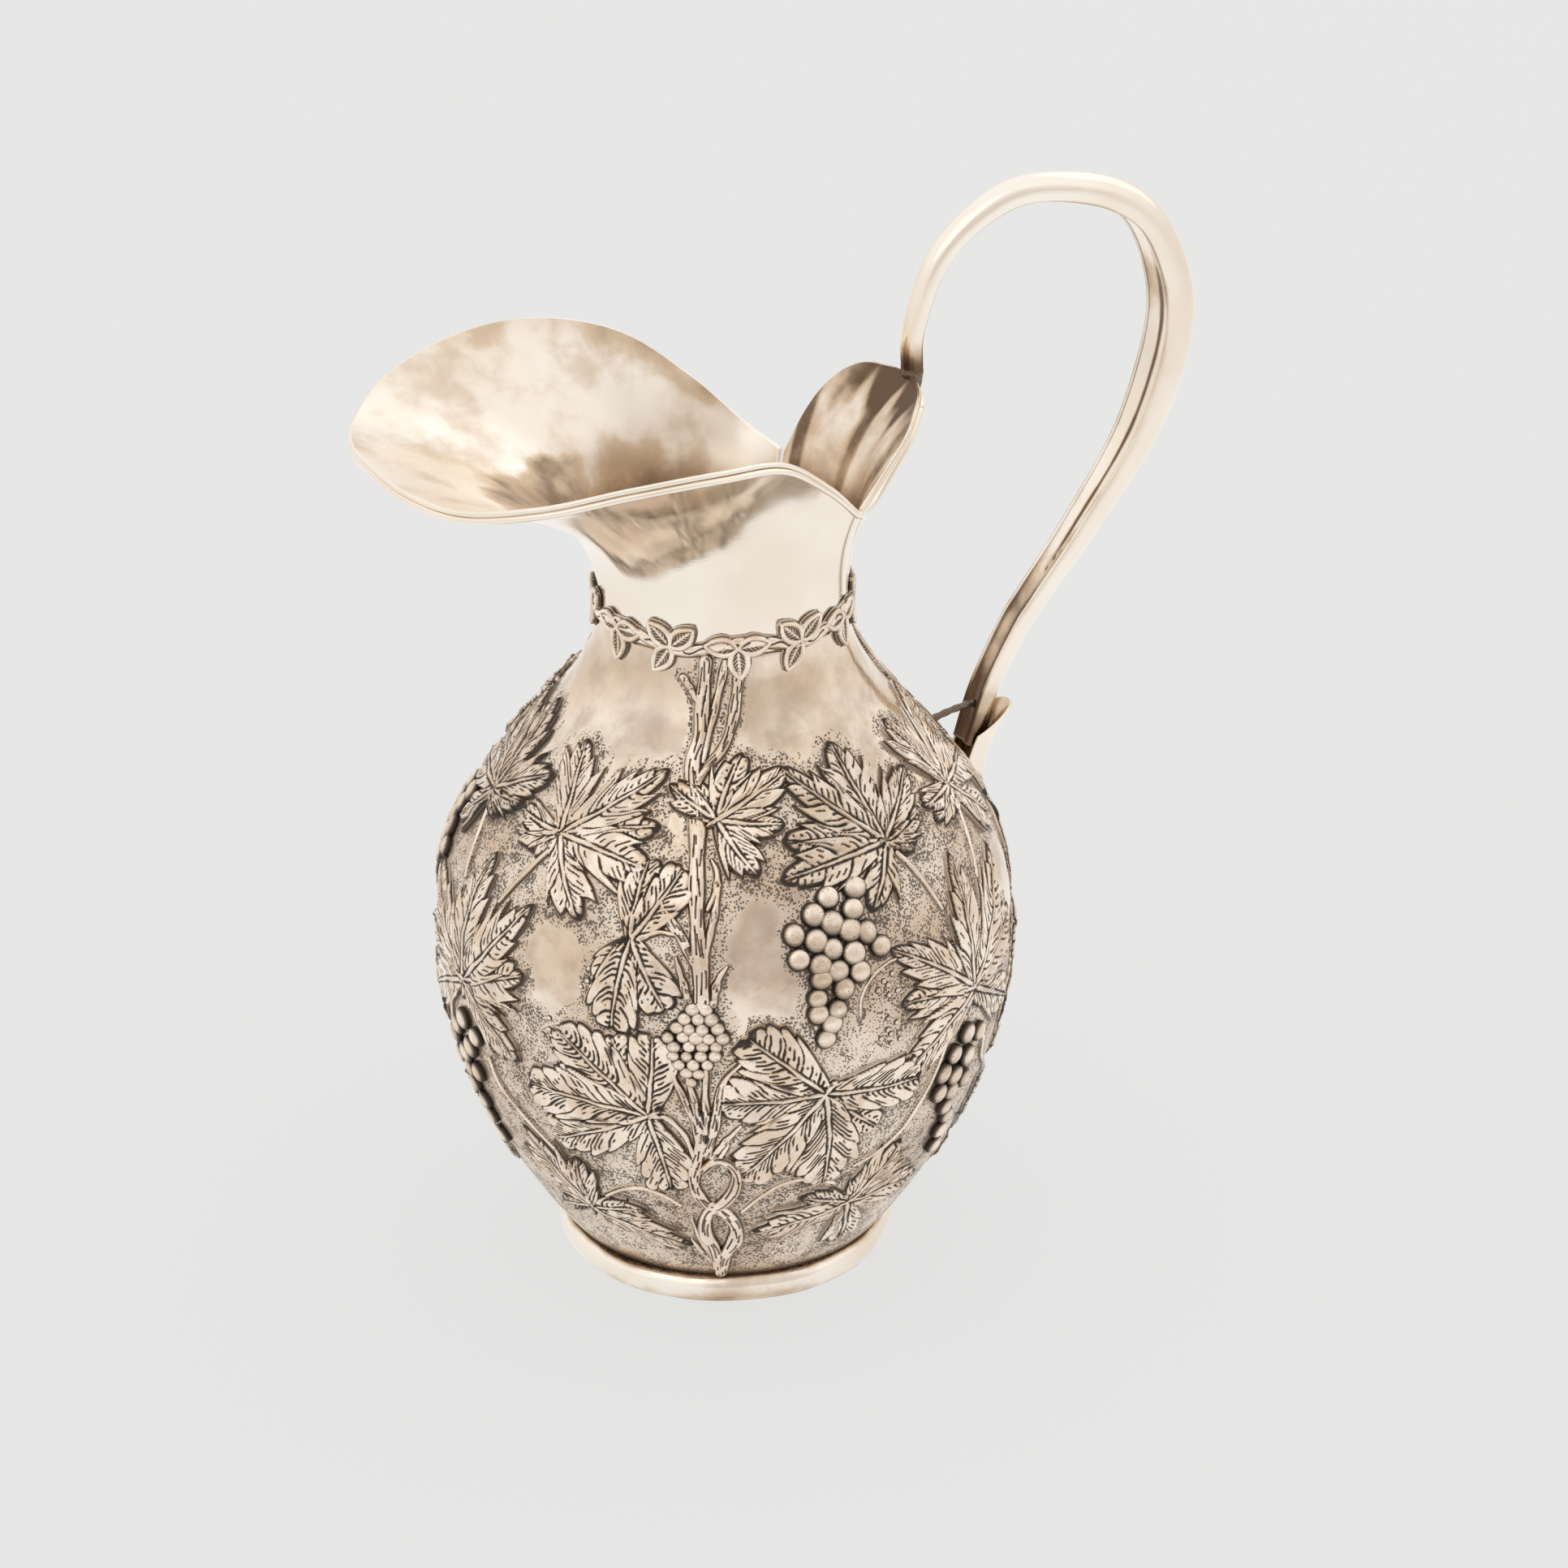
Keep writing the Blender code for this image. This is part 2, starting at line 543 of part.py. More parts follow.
def make_socket(line):
    """A pointed leaf that stands on the body's relief, bent round the outer side of the handle's foot."""
    foot = Vector((line[-1][0], 0, line[-1][1]))
    rise = Vector((line[-4][0], 0, line[-4][1])) - foot
    lean = math.atan2(rise.x, rise.z)
    stand = Matrix.Translation(foot) @ Matrix.Rotation(lean, 4, "Y")
    down = stand.to_3x3() @ Vector((0, 0, -1))
    reach = line[-1][2] + SOCKET_CLEARANCE
    columns = 10
    bottom, top = [], []
    for k in range(columns + 1):
        turn = SOCKET_SPREAD * (2 * k / columns - 1)
        tip = SOCKET_HEIGHT * math.cos(turn * 0.5) ** 3
        outside = reach + SOCKET_WALL
        drop = drop_to_relief(stand @ Vector((outside * math.cos(turn), outside * math.sin(turn), 0)), down)
        for row, up in ((bottom, -drop), (top, tip)):
            flare = reach + SOCKET_FLARE * max(up, 0)
            row.append((flare * math.cos(turn), flare * math.sin(turn), up))
    bm = bmesh.new()
    low = [bm.verts.new(p) for p in bottom]
    high = [bm.verts.new(p) for p in top]
    for k in range(columns):
        bm.faces.new((low[k], low[k + 1], high[k + 1], high[k]))
    mesh = bpy.data.meshes.new("handle_socket_leaf")
    bm.to_mesh(mesh)
    bm.free()
    mesh.shade_smooth()
    socket = add_object("handle_socket_leaf", mesh, SILVER, 0.3)
    socket.location = foot
    socket.rotation_euler = (0, lean, 0)
    sheet = socket.modifiers.new("sheet", "SOLIDIFY")
    sheet.thickness = SOCKET_WALL
    sheet.offset = 1


def make_twig(line):
    """A short twig from the face of the rear trunk to the inner side of the handle."""
    handle_end = HANDLE_FOOT_HEIGHT + TWIG_RISE
    body_end = handle_end - TWIG_DROP
    heights = [height for _, height, _ in line[::-1]]
    reach = np.interp(handle_end, heights, [reach for reach, _, _ in line[::-1]])
    half = np.interp(handle_end, heights, [half for _, _, half in line[::-1]])
    trunk_face = [on_body(0, 0, 0, up, sum(trunk_height(up))) for up in range(int(PATTERN_TALL))]
    start = SEAT_GAP + max(place[0] for place in trunk_face if abs(place[2] - body_end) < 2 * TWIG_RADIUS)
    end = reach - half * 0.5 - SEAT_GAP - TWIG_RADIUS
    points = [(start + (end - start) * s, 0, body_end + TWIG_DROP * s) for s in (0, 0.5, 1)]
    tube = wire("handle_strut_twig", points, TWIG_RADIUS, resolution=0)
    add_object("handle_strut_twig", tube, SILVER, 0.35)


def leaf_outline(lobes):
    """Points round a leaf: each lobe's shoulders and tip, then the valley before the next lobe."""
    lobes = sorted(lobes)
    points = []
    for k, (turn, length, half) in enumerate(lobes):
        along = Vector((math.cos(math.radians(turn)), math.sin(math.radians(turn))))
        side = Vector((-along.y, along.x))
        following = lobes[(k + 1) % len(lobes)]
        room_before = math.radians((turn - lobes[k - 1][0]) % 360)
        room_after = math.radians((following[0] - turn) % 360)
        right = min(half, 0.55 * length * math.tan(min(0.4 * room_before, 1.2)))
        left = min(half, 0.62 * length * math.tan(min(0.4 * room_after, 1.2)))
        points += [along * length * 0.55 - side * right, along * length, along * length * 0.62 + side * left]
        middle = math.radians(turn) + room_after / 2
        depth = LEAF_VALLEY * min(length, following[1])
        points.append(Vector((math.cos(middle), math.sin(middle))) * depth)
    return points


def relief_leaf(name, vine, degrees, up, lobes, seat=RELIEF_SEAT):
    """A thin leaf casting, bent to the body: a rib along each lobe, a furrow between two lobes."""
    outline = leaf_outline(lobes)
    carving = (0, LEAF_RIB, 0, -LEAF_FURROW)
    bm = bmesh.new()

    def ring(share, lift, carved=0):
        lifts = [lift + carved * carving[k % 4] for k in range(len(outline))]
        return [bm.verts.new(on_body(vine, degrees, p.x * share, up + p.y * share, raised))
                for p, raised in zip(outline, lifts)]

    sides = []
    for lift, carved in ((seat, 0), (seat + LEAF_THICKNESS, 1)):
        middle = bm.verts.new(on_body(vine, degrees, 0, up, lift + LEAF_CROWN))
        inner, outer = ring(0.52, lift + LEAF_CROWN, carved), ring(1, lift)
        for k in range(len(outline)):
            nxt = (k + 1) % len(outline)
            bm.faces.new((middle, inner[k], inner[nxt]))
            bm.faces.new((inner[k], outer[k], outer[nxt], inner[nxt]))
        sides.append(outer)
    low, high = sides
    for k in range(len(outline)):
        nxt = (k + 1) % len(outline)
        bm.faces.new((low[k], low[nxt], high[nxt], high[k]))
    add_mesh(name, bm, SILVER, 0.35)


def relief_grapes(name, vine, degrees, up, pitch, rows, seat=RELIEF_SEAT):
    """A bunch of six-sided grapes on one backing, row by row from the top."""
    bm = bmesh.new()
    corners = {}
    low_faces, edge_use = [], {}

    def corner(x, y, top):
        key = (round(x, 2), round(y, 2), top)
        if key not in corners:
            lift = seat + (GRAPE_VALLEY if top else 0)
            corners[key] = bm.verts.new(on_body(vine, degrees, x, up + y, lift))
        return corners[key]

    step = pitch / 2 / math.cos(math.pi / 6)
    for row, count in enumerate(rows):
        for k in range(count):
            x = (k - (count - 1) / 2) * pitch
            if (row + count) % 2 != rows[0] % 2:
                x += pitch / 2
            y = -row * pitch * math.sin(math.pi / 3)
            turns = [math.pi / 3 * n for n in range(6)]
            around = [(x + step * math.sin(t), y + step * math.cos(t)) for t in turns]
            crown = bm.verts.new(on_body(vine, degrees, x, up + y, seat + GRAPE_HEIGHT))
            tops = [corner(*p, True) for p in around]
            lows = [corner(*p, False) for p in around]
            for n in range(6):
                bm.faces.new((crown, tops[n], tops[(n + 1) % 6]))
                edge = frozenset((lows[n], lows[(n + 1) % 6]))
                edge_use.setdefault(edge, []).append((lows[n], lows[(n + 1) % 6], tops[(n + 1) % 6], tops[n]))
            low_faces.append(lows)
    for lows in low_faces:
        bm.faces.new(lows)
    for use in edge_use.values():
        if len(use) == 1:
            bm.faces.new(use[0])
    add_mesh(name, bm, SILVER, 0.3)


def relief_vine(name, vine, line, count, height_at):
    """A half-round strand along a line of the pattern."""
    bm = bmesh.new()
    rings = []
    for degrees, up, half in smooth_line(line, count):
        seat, height = height_at(up)
        section = ((-half, 0), (-half * 0.8, 0.6), (0, 1), (half * 0.8, 0.6), (half, 0))
        rings.append([on_body(vine, degrees, x, up, seat + share * height) for x, share in section])
    loft(bm, rings, closed=False)
    add_mesh(name, bm, SILVER, 0.35)


def trunk_height(up):
    thin = any(low <= up <= high for low, high in TRUNK_THIN_SPANS)
    return RELIEF_SEAT, VINE_THIN_HEIGHT if thin else VINE_HEIGHT


def strand_height(up):
    """The strand climbs over the trunk where the two cross."""
    near = max(0.0, 1 - abs(up - STRAND_CROSSING) / STRAND_CROSSING_SPREAD)
    climb = min(1.0, 1.6 * near) * (VINE_HEIGHT + SEAT_GAP)
    return RELIEF_SEAT + climb, VINE_HEIGHT


def make_ornament():
    on_trunk = RELIEF_SEAT + VINE_THIN_HEIGHT + SEAT_GAP
    for vine in range(VINE_COUNT):
        number = vine + 1
        relief_vine(f"vine_trunk_{number}", vine, TRUNK_LINE, 30, trunk_height)
        relief_vine(f"vine_strand_{number}", vine, STRAND_LINE, 16, strand_height)
        for name, leaf in LEAVES.items():
            over_trunk = name == "trunk_leaf"
            if vine > 0 or not over_trunk:
                relief_leaf(f"{name}_{number}", vine, *leaf, on_trunk if over_trunk else RELIEF_SEAT)
        for name, bunch in GRAPES.items():
            seat = on_trunk if name == "trunk_grapes" else RELIEF_SEAT
            relief_grapes(f"{name}_{number}", vine, *bunch, GRAPE_COUNTS[name], seat)


def main():
    make_body()
    make_foot()
    rims = make_neck()
    make_collar(rims)
    line = make_handle()
    make_socket(line)
    make_twig(line)
    make_ornament()


main()
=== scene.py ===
"""Looks of the silver water pitcher: chased body, applied grapevine, polished neck and handle.

Lengths in the tables are millimetres. The vessel's axis is upright. Places on the body are given in
degrees from a vine's trunk and in millimetres up the body's outline, which starts at its base.
"""

import math

import bpy
import numpy as np
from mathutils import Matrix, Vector


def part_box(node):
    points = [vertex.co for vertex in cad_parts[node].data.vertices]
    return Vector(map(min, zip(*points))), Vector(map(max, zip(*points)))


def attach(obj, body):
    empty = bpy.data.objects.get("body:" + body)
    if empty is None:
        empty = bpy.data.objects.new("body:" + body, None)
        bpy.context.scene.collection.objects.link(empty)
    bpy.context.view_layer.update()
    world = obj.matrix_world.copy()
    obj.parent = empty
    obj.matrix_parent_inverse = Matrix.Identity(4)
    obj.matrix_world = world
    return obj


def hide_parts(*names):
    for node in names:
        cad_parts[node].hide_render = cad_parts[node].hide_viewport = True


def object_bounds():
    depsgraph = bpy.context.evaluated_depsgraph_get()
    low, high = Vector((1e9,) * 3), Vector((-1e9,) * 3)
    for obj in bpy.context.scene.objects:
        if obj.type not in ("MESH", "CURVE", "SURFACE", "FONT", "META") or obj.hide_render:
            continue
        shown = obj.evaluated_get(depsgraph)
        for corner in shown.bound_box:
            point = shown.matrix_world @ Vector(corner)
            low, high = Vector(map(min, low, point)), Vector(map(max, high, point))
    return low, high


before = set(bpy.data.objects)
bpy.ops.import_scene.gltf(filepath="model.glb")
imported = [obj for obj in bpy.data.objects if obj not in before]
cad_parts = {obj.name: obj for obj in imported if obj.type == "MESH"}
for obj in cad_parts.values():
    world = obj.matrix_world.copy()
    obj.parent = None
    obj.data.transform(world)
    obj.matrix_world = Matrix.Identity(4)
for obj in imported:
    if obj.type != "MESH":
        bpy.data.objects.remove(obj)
cad_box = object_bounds()
INSIDE_BOX = [np.array(corner) for corner in cad_box]

MM = 0.001
SHELL_LOW, SHELL_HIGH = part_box("body_shell")
AXIS_X = (SHELL_LOW.x + SHELL_HIGH.x) / 2

# Vessel body
BASE_Z, BASE_R = 6.0, 37.5
BELLY_Z, BELLY_R = 83.0, 68.6
NECK_Z, NECK_R = 166.0, 29.4
BELLY_FULLNESS, SHOULDER_FULLNESS = 0.9, 1.27
NECK_RUN = 6.0
WALL = 1.2
OUTLINE_POINTS, SPAN_STEPS = 640, 24
SECTOR_COLUMNS, BODY_ROWS, INNER_ROWS = 200, 290, 60

# Marks of the body's inner face and of the middle of its underside
INSIDE_MARKS = {"dark": (0.35, 0.5), "stipple": (0.1, 0.3), "wash": (0.4, 0.4)}

# Mouth
NOTCH_TURN, NOTCH_GAP = math.radians(38.4), 0.005
SPOUT_POINTS, LIP_POINTS = 241, 97
NOTCH_R, NOTCH_Z = 33.0, 192.6
SPOUT_REACH, SPOUT_TOP = 87.6, 223.4
LIP_REACH, LIP_TOP = 48.8, 214.5
FLARE_POWER = 2.7
RIM_WIRE, WIRE_OUT, WIRE_DROP, WIRE_TAPER = 0.8, 0.05, 0.15, 30
NECK_ROWS, EDGE_ROWS, EDGE_DROP, EDGE_START = 70, 6, 0.25, 0.25
SPOUT_RIM = (
    (0.00, 1.000, 0.79), (0.07, 0.994, 0.765), (0.145, 0.945, 0.75), (0.235, 0.835, 0.86),
    (0.335, 0.650, 0.98), (0.45, 0.455, 1.00), (0.58, 0.234, 0.875), (0.725, 0.122, 0.525),
    (0.87, 0.060, 0.165), (1.00, 0.000, 0.00),
)
LIP_RIM = (
    (0.00, 1.00, 1.000), (0.25, 0.95, 0.985), (0.50, 0.815, 0.930), (0.75, 0.57, 0.63),
    (1.00, 0.00, 0.00),
)

# Darkness of the neck's inner faces: tarnish, with painted shade in the spout's throat and a painted
# reflection in its pool
SPOUT_DARK, THROAT_SHADE, POOL_REFLECTION, FAR_EDGE_DARK = 0.27, 0.29, 0.27, 0.20
LIP_DARK, LIP_STREAK, LIP_THROAT, LIP_EDGE_DARK, RIM_DARK = 0.34, 0.28, 0.2, 0.60, 0.14

# Foot ring
FOOT_R, FOOT_BORE, FOOT_HEIGHT = 41.7, 32.5, 7.4
FOOT_COLUMNS, FOOT_ARC, FOOT_ARC_POINTS = 240, (78, -62), 26
FOOT_UNDER, FOOT_INNER = 0.30, (0.5, 0.6, 0.7, 0.95, 0.9)

# Handle
HANDLE_REACH, HANDLE_TOP = 119.5, 256.5
HANDLE_BULGE_Z, HANDLE_FOOT_Z = 218.5, 116.5
HANDLE_WALL, HANDLE_LIP_TURN = 1.0, math.radians(122)
HANDLE_FULL, HANDLE_LIP_WIDTH, HANDLE_FOOT_WIDTH = 12.3, 5.6, 7.2
HANDLE_UPPER = (
    (0.000, 0.00), (0.004, 0.27), (0.095, 0.67), (0.272, 0.925), (0.460, 1.00), (0.735, 0.885),
    (0.912, 0.61),
)
HANDLE_LOWER = (
    (1.000, 1.00), (0.865, 0.737), (0.555, 0.496), (0.325, 0.342), (0.225, 0.270), (0.085, 0.130),
    (0.00, 0.00),
)
HANDLE_FULLNESS = ((0.0, 0.0), (0.16, 0.12), (0.34, 0.55), (0.50, 1.0), (0.58, 0.98), (0.75, 0.4), (1.0, 0.0))
HANDLE_REST = 2.4
HANDLE_POINTS, SHELL_POINTS, STRIP_POINTS = 220, 41, 15
STRIP_PITS = ((0.782, -0.75), (0.790, -0.45), (0.797, -0.7), (0.803, -0.35))
# The inner strip's brown at the bulge and toward the foot is painted shade
STRIP_DARK, STRIP_BULGE_SHADE, STRIP_FOOT_SHADE, STRIP_GROOVE_DARK = 0.06, 0.30, 0.50, 0.85
SHELL_LIP_DARK = 0.25
SEAT_GAP = 0.3

# Solder behind the back lip: mm down from its top and out, radii from the handle's end on
SOLDER_PLACES, SOLDER_RADII = ((2.2, 2.0), (5.0, 1.3), (8.0, 0.4)), (2.5, 2.6, 2.0, 1.4, 0.4)
SOLDER_DARK = 0.62

# Socket leaf and twig at the handle's foot
SOCKET_HEIGHT, SOCKET_CLEARANCE, SOCKET_WALL = 12.5, 0.5, 1.0
SOCKET_COLUMNS, SOCKET_ROWS, SOCKET_STEP, SOCKET_STEPS = 81, 60, 0.1, 120
SOCKET_FLARE, SOCKET_SPREAD, SOCKET_SEAT, SOCKET_SKIRT = 0.1, math.radians(105), 1.0, 2.6
TWIG_RADIUS, TWIG_RISE, TWIG_DROP, TWIG_SUNK, TWIG_DARK = 0.9, 10.0, 2.2, 2.2, 0.62
# The root is a dark rod along the body, painted shade of the gap by the handle's foot
ROOT_RADII, ROOT_SHADE = (0.5, 1.1, 1.1, 1.2, 0.9), 0.8

# Ornament
VINES = 3
FIRST_VINE = math.radians(1.7)
SECTOR = 2 * math.pi / VINES
RELIEF_STEP, LEAST_LIFT = 0.23, 0.1
NOWHERE, FAR_OFF = -9.0, 9.0
WALL_OUT, WALL_FOOT, APRON, APRON_LIFT = 0.12, 0.06, 0.42, 0.02
SHADE_REACH, SHADE_CLOSE, SHADE_WIDE, WIDE_REACH = 0.42, 0.95, 0.46, 3.0
# Wash of the smooth windows: an even cloudy tarnish, and painted shade that grows toward the relief
WINDOW_WASH, WINDOW_EDGE_SHADE, EDGE_SHADE_REACH = 0.22, 0.58, 7.0

# Leaf styles: vein turn, lobe half-width by length and at most, place of its widest part, fullness of its
# tip, mm of rib for each fold, darkness of folds, reach of the cut lines, their half-width, count for each
# fold and gaps, share of the washes in hollows
FEATHERED = {"vein": math.radians(36), "width": 0.325, "most": 8.0, "peak": 0.40, "fall": 0.85, "strip": 7.4,
             "border": 0.60, "reach": 0.50, "line": 0.15, "lines": 4, "gaps": 0.42, "wash": 1.0}
ROUNDED = {"vein": math.radians(42), "width": 0.31, "most": 8.5, "peak": 0.50, "fall": 0.50, "strip": 5.8,
           "border": 0.50, "reach": 0.26, "line": 0.22, "lines": 4, "gaps": 0.30, "wash": 1.6}

# Leaves: degrees from the trunk, mm up the outline, lobes of direction and length, style
LEAVES = {
    "upper_leaf_left": (-41.7, 131.0, ((102, 23), (45, 28), (25, 24), (0, 25.5), (-60, 22), (-158, 15),
                                       (-176, 15), (-131, 10)), FEATHERED),
    "trunk_leaf": (0.6, 140.6, ((79, 16.6), (150, 13.6), (123, 11.6), (34, 19.4), (-8, 15.8),
                                (-61, 16.4)), FEATHERED),
    "upper_leaf_right": (45.0, 129.2, ((132, 29), (96, 26.4), (38, 21), (7, 15), (-26, 10), (165, 25),
                                       (-178, 29), (-118, 17.6)), FEATHERED),
    "side_leaf": (60.0, 86.0, ((95, 33.5), (138, 32.5), (160, 26), (-157, 27), (45, 34), (24, 26),
                               (-31, 25)), FEATHERED),
    "hanging_leaf": (-17.0, 112.0, ((94, 18), (-130, 14), (-103, 22), (-61, 18), (55, 19)), ROUNDED),
    "lower_leaf_left": (-13.0, 67.9, ((133, 28.5), (113, 21.5), (79, 21.5), (174, 31), (-150, 28),
                                      (-75, 24)), ROUNDED),
    "lower_leaf_right": (22.2, 72.9, ((135, 25), (-179, 24), (-129, 30), (-79, 28.6), (-9, 25.7),
                                      (-46, 19)), ROUNDED),
    "bottom_leaf_left": (-32.8, 28.9, ((120, 27.6), (93, 19.6), (-14, 24), (25, 16.5),
                                       (-170, 12)), FEATHERED),
    "bottom_leaf_right": (33.3, 32.4, ((55, 21.4), (4, 22.5), (81, 13.8), (-168, 22.8), (151, 15.5),
                                       (-74, 20)), FEATHERED),
}
TRUNK_LEAF_RAISED, LEAF_MARGIN, LEAF_SPAN = 0.55, 4, 42
LOBE_LEAST, LOBE_BACK, LOBE_TILT, LOBE_BEND = 3.3, 0.16, 0.9, 0.30
VEIN_START, VEIN_CURVE, SIDE_SHIFT, FEWEST_STRIPS = 0.8, 0.35, 0.37, 2.4
TIP, TIP_FULL, UNEVEN_LEAST, UNEVEN_MORE = (0.80, 0.97), 0.9, 0.88, 0.24
LOBE_LOW, LOBE_DOME, LOBE_WAVE, EDGE_SLANT = 0.34, 0.92, 0.20, 0.72
TOOTH_DEPTH, WAVE_DEPTH = 0.30, 0.12
RIB_HALF, RIB_LIFT = 0.38, 0.26
RIB_GROOVE, RIB_GROOVE_HALF, RIB_GROOVE_DEPTH = 0.78, 0.23, 0.26
RIM_INSET, RIM_HALF, RIM_LIFT = 0.55, 0.35, 0.22
FOLD_HALF, FOLD_DEPTH, LINE_DEPTH = 0.24, 0.34, 0.26

# Oxide in hollows of two sizes: points to each side, depth at which it is full, darkness
HOLLOW_REACH, HOLLOW_DEPTH, HOLLOW_WASH = 3, (0.01, 0.14), 0.65
VALLEY_REACH, VALLEY_DEPTH, VALLEY_WASH = 10, (0.0, 0.30), 0.45
# Painted shade spread evenly over whole leaves, most on the right upper leaf and the bottom leaves
LEAF_SHADE = {"upper_leaf_right": 0.20, "lower_leaf_left": 0.05, "lower_leaf_right": 0.07, "side_leaf": 0.06,
             "bottom_leaf_left": 0.12, "bottom_leaf_right": 0.10, "hanging_leaf": 0.05}
LAYERED = (4.0, 9.0)

# Strands: lines of degrees and mm up, half-width at start, middle and end, height
TRUNK_STRANDS = (
    (((-5.2, 178.2), (-6.1, 166.9), (-6.2, 160.4), (-7.8, 155.2), (-7.5, 150.7), (-5.8, 144.6),
      (-4.5, 137.6)), (1.5, 1.7, 1.9), 1.5),
    (((-15.2, 173.7), (-11.6, 171.2), (-8.0, 168.3)), (0.9, 0.9, 0.7), 1.0),
    (((9.2, 174.5), (6.0, 164.0), (2.0, 157.5), (-2.9, 153.4), (-6.0, 149.0)), (1.3, 1.2, 0.9), 1.3),
    (((3.6, 178.0), (-0.9, 167.0), (-3.4, 159.4), (-4.4, 154.4)), (0.9, 0.9, 0.6), 1.0),
    (((-4.6, 138.5), (-4.2, 131.5), (-3.9, 123.9), (-3.3, 116.5), (-2.5, 109.1), (-1.8, 98.0)),
     (1.9, 1.8, 2.1), 1.6),
    (((-0.6, 131.5), (0.8, 128.6), (0.6, 124.5), (-1.2, 120.0)), (0.4, 1.0, 0.5), 1.2),
    (((1.3, 125.0), (0.6, 120.5), (-0.4, 115.1), (-1.0, 110.1)), (0.4, 1.0, 0.5), 1.3),
    (((2.9, 107.1), (1.2, 104.1), (0.1, 98.1)), (0.4, 1.0, 0.9), 1.3),
    (((-12.2, 121.7), (-9.5, 117.5), (-6.4, 113.3), (-3.8, 108.0)), (1.1, 1.3, 1.1), 1.4),
    (((-7.3, 108.8), (-6.0, 104.3), (-4.2, 97.8)), (0.4, 1.0, 1.0), 1.3),
    (((-8.3, 86.9), (-7.7, 81.0), (-5.8, 74.3), (-3.5, 66.6), (-2.6, 57.2)), (0.5, 1.0, 1.0), 1.3),
    (((-4.7, 79.6), (-3.4, 71.9), (-2.5, 65.2), (-2.4, 57.3)), (0.7, 1.1, 1.1), 1.4),
    (((-1.2, 82.3), (-1.4, 74.0), (-1.3, 67.4), (-2.0, 57.3)), (0.7, 1.0, 1.0), 1.3),
    (((5.3, 83.3), (2.7, 79.7), (1.2, 74.0), (0.5, 66.7), (-1.3, 57.3)), (0.5, 1.2, 1.2), 1.5),
    (((5.5, 65.9), (2.9, 61.8), (-0.4, 55.9)), (0.4, 0.9, 0.8), 1.1),
    (((-2.4, 60.0), (-4.0, 51.7), (-4.3, 45.1), (-2.5, 39.4), (0.2, 36.3), (2.3, 34.6)),
     (1.6, 1.5, 1.5), 1.5),
    (((-0.7, 38.6), (2.3, 35.3), (4.8, 29.3), (4.7, 21.7), (2.2, 14.8), (0.7, 5.0)), (1.4, 1.9, 1.6), 1.7),
    (((-5.8, 31.9), (-4.5, 23.7), (-1.7, 13.4)), (0.3, 0.9, 0.5), 0.9),
    (((-6.7, 22.4), (-4.2, 15.7), (-0.6, 8.7)), (0.3, 0.9, 0.6), 0.9),
)
SECOND_STRANDS = (
    (((-2.1, 51.8), (0.5, 55.1), (3.1, 54.3), (4.8, 50.3), (4.3, 44.4), (1.8, 39.1), (-1.1, 36.2),
      (-2.6, 31.2), (-2.6, 25.0), (-1.1, 19.4), (0.2, 9.0)), (1.1, 1.7, 1.7), 1.9),
    (((3.1, 60.1), (1.0, 55.1), (-1.4, 51.1)), (0.4, 0.8, 0.7), 1.1),
)
STEMS = (
    (((-41.8, 129.6), (-44.4, 124.3), (-47.9, 117.5), (-51.5, 109.9)), (0.6, 0.5, 0.35), 0.8),
    (((47.1, 125.8), (49.8, 120.3), (51.8, 114.6), (53.5, 109.0)), (0.6, 0.5, 0.35), 0.8),
    (((29.5, 91.4), (29.9, 95.9), (32.6, 100.1), (37.1, 102.5), (41.0, 102.2)), (0.3, 0.5, 0.4), 0.6),
    (((51.5, 75.0), (49.4, 68.4), (46.9, 62.2), (43.8, 56.0), (40.5, 51.8), (35.8, 48.6), (31.6, 46.8)),
     (0.5, 0.6, 0.4), 0.8),
    (((6.2, 35.2), (10.1, 40.4), (14.9, 44.9), (20.9, 45.6), (27.4, 42.1)), (0.4, 0.6, 0.6), 0.8),
    (((-26.8, 36.0), (-21.8, 40.2), (-16.5, 42.3), (-11.5, 40.5), (-8.1, 37.4)), (0.5, 0.7, 0.5), 0.9),
    (((-12.2, 68.2), (-8.7, 67.3), (-5.7, 62.8), (-4.1, 56.4)), (0.7, 0.7, 0.7), 1.2),
    (((-15.0, 112.3), (-11.5, 114.3), (-8.0, 114.0)), (0.7, 0.6, 0.5), 1.0),
    (((-52.7, 68.4), (-50.6, 61.6), (-45.5, 56.1), (-40.2, 50.8), (-36.3, 46.6)), (0.5, 0.6, 0.4), 0.8),
)

STRAND_MARGIN, STRAND_STEP = 9.5, 0.9
BARK_GROOVES, BARK_HALF, BARK_DEPTH = (-0.42, 0.05, 0.5), 0.20, 0.32

# Grapes: degrees and mm up of each; then radius and lift of each bunch
BUNCH = (
    (32.3, 121), (25.4, 120.2), (30.7, 116.5), (21.5, 116.9), (25.3, 114.4), (29, 112), (33.1, 111),
    (17.3, 113.5), (21.1, 110.9), (25.1, 109.1), (35.1, 106.5), (29.1, 106.7), (17.6, 107.7), (21.7, 105.5),
    (25.6, 103.9), (29.7, 102.1), (21.4, 102), (25.9, 98.9), (20.9, 98.2), (24.8, 94.7), (20.6, 94.2),
    (23.1, 91.1), (22.4, 88),
)
CLUSTER_ROWS = (2, 3, 4, 5, 4, 4, 3, 2, 1)
CLUSTER_TOP, CLUSTER_PITCH, CLUSTER_LEAN = (-2.6, 97.0), (2.55, 2.3), 0.16
CLUSTER = [
    (CLUSTER_TOP[0] - CLUSTER_LEAN * row + (k - (count - 1) / 2) * CLUSTER_PITCH[0],
     CLUSTER_TOP[1] - row * CLUSTER_PITCH[1])
    for row, count in enumerate(CLUSTER_ROWS) for k in range(count)
]
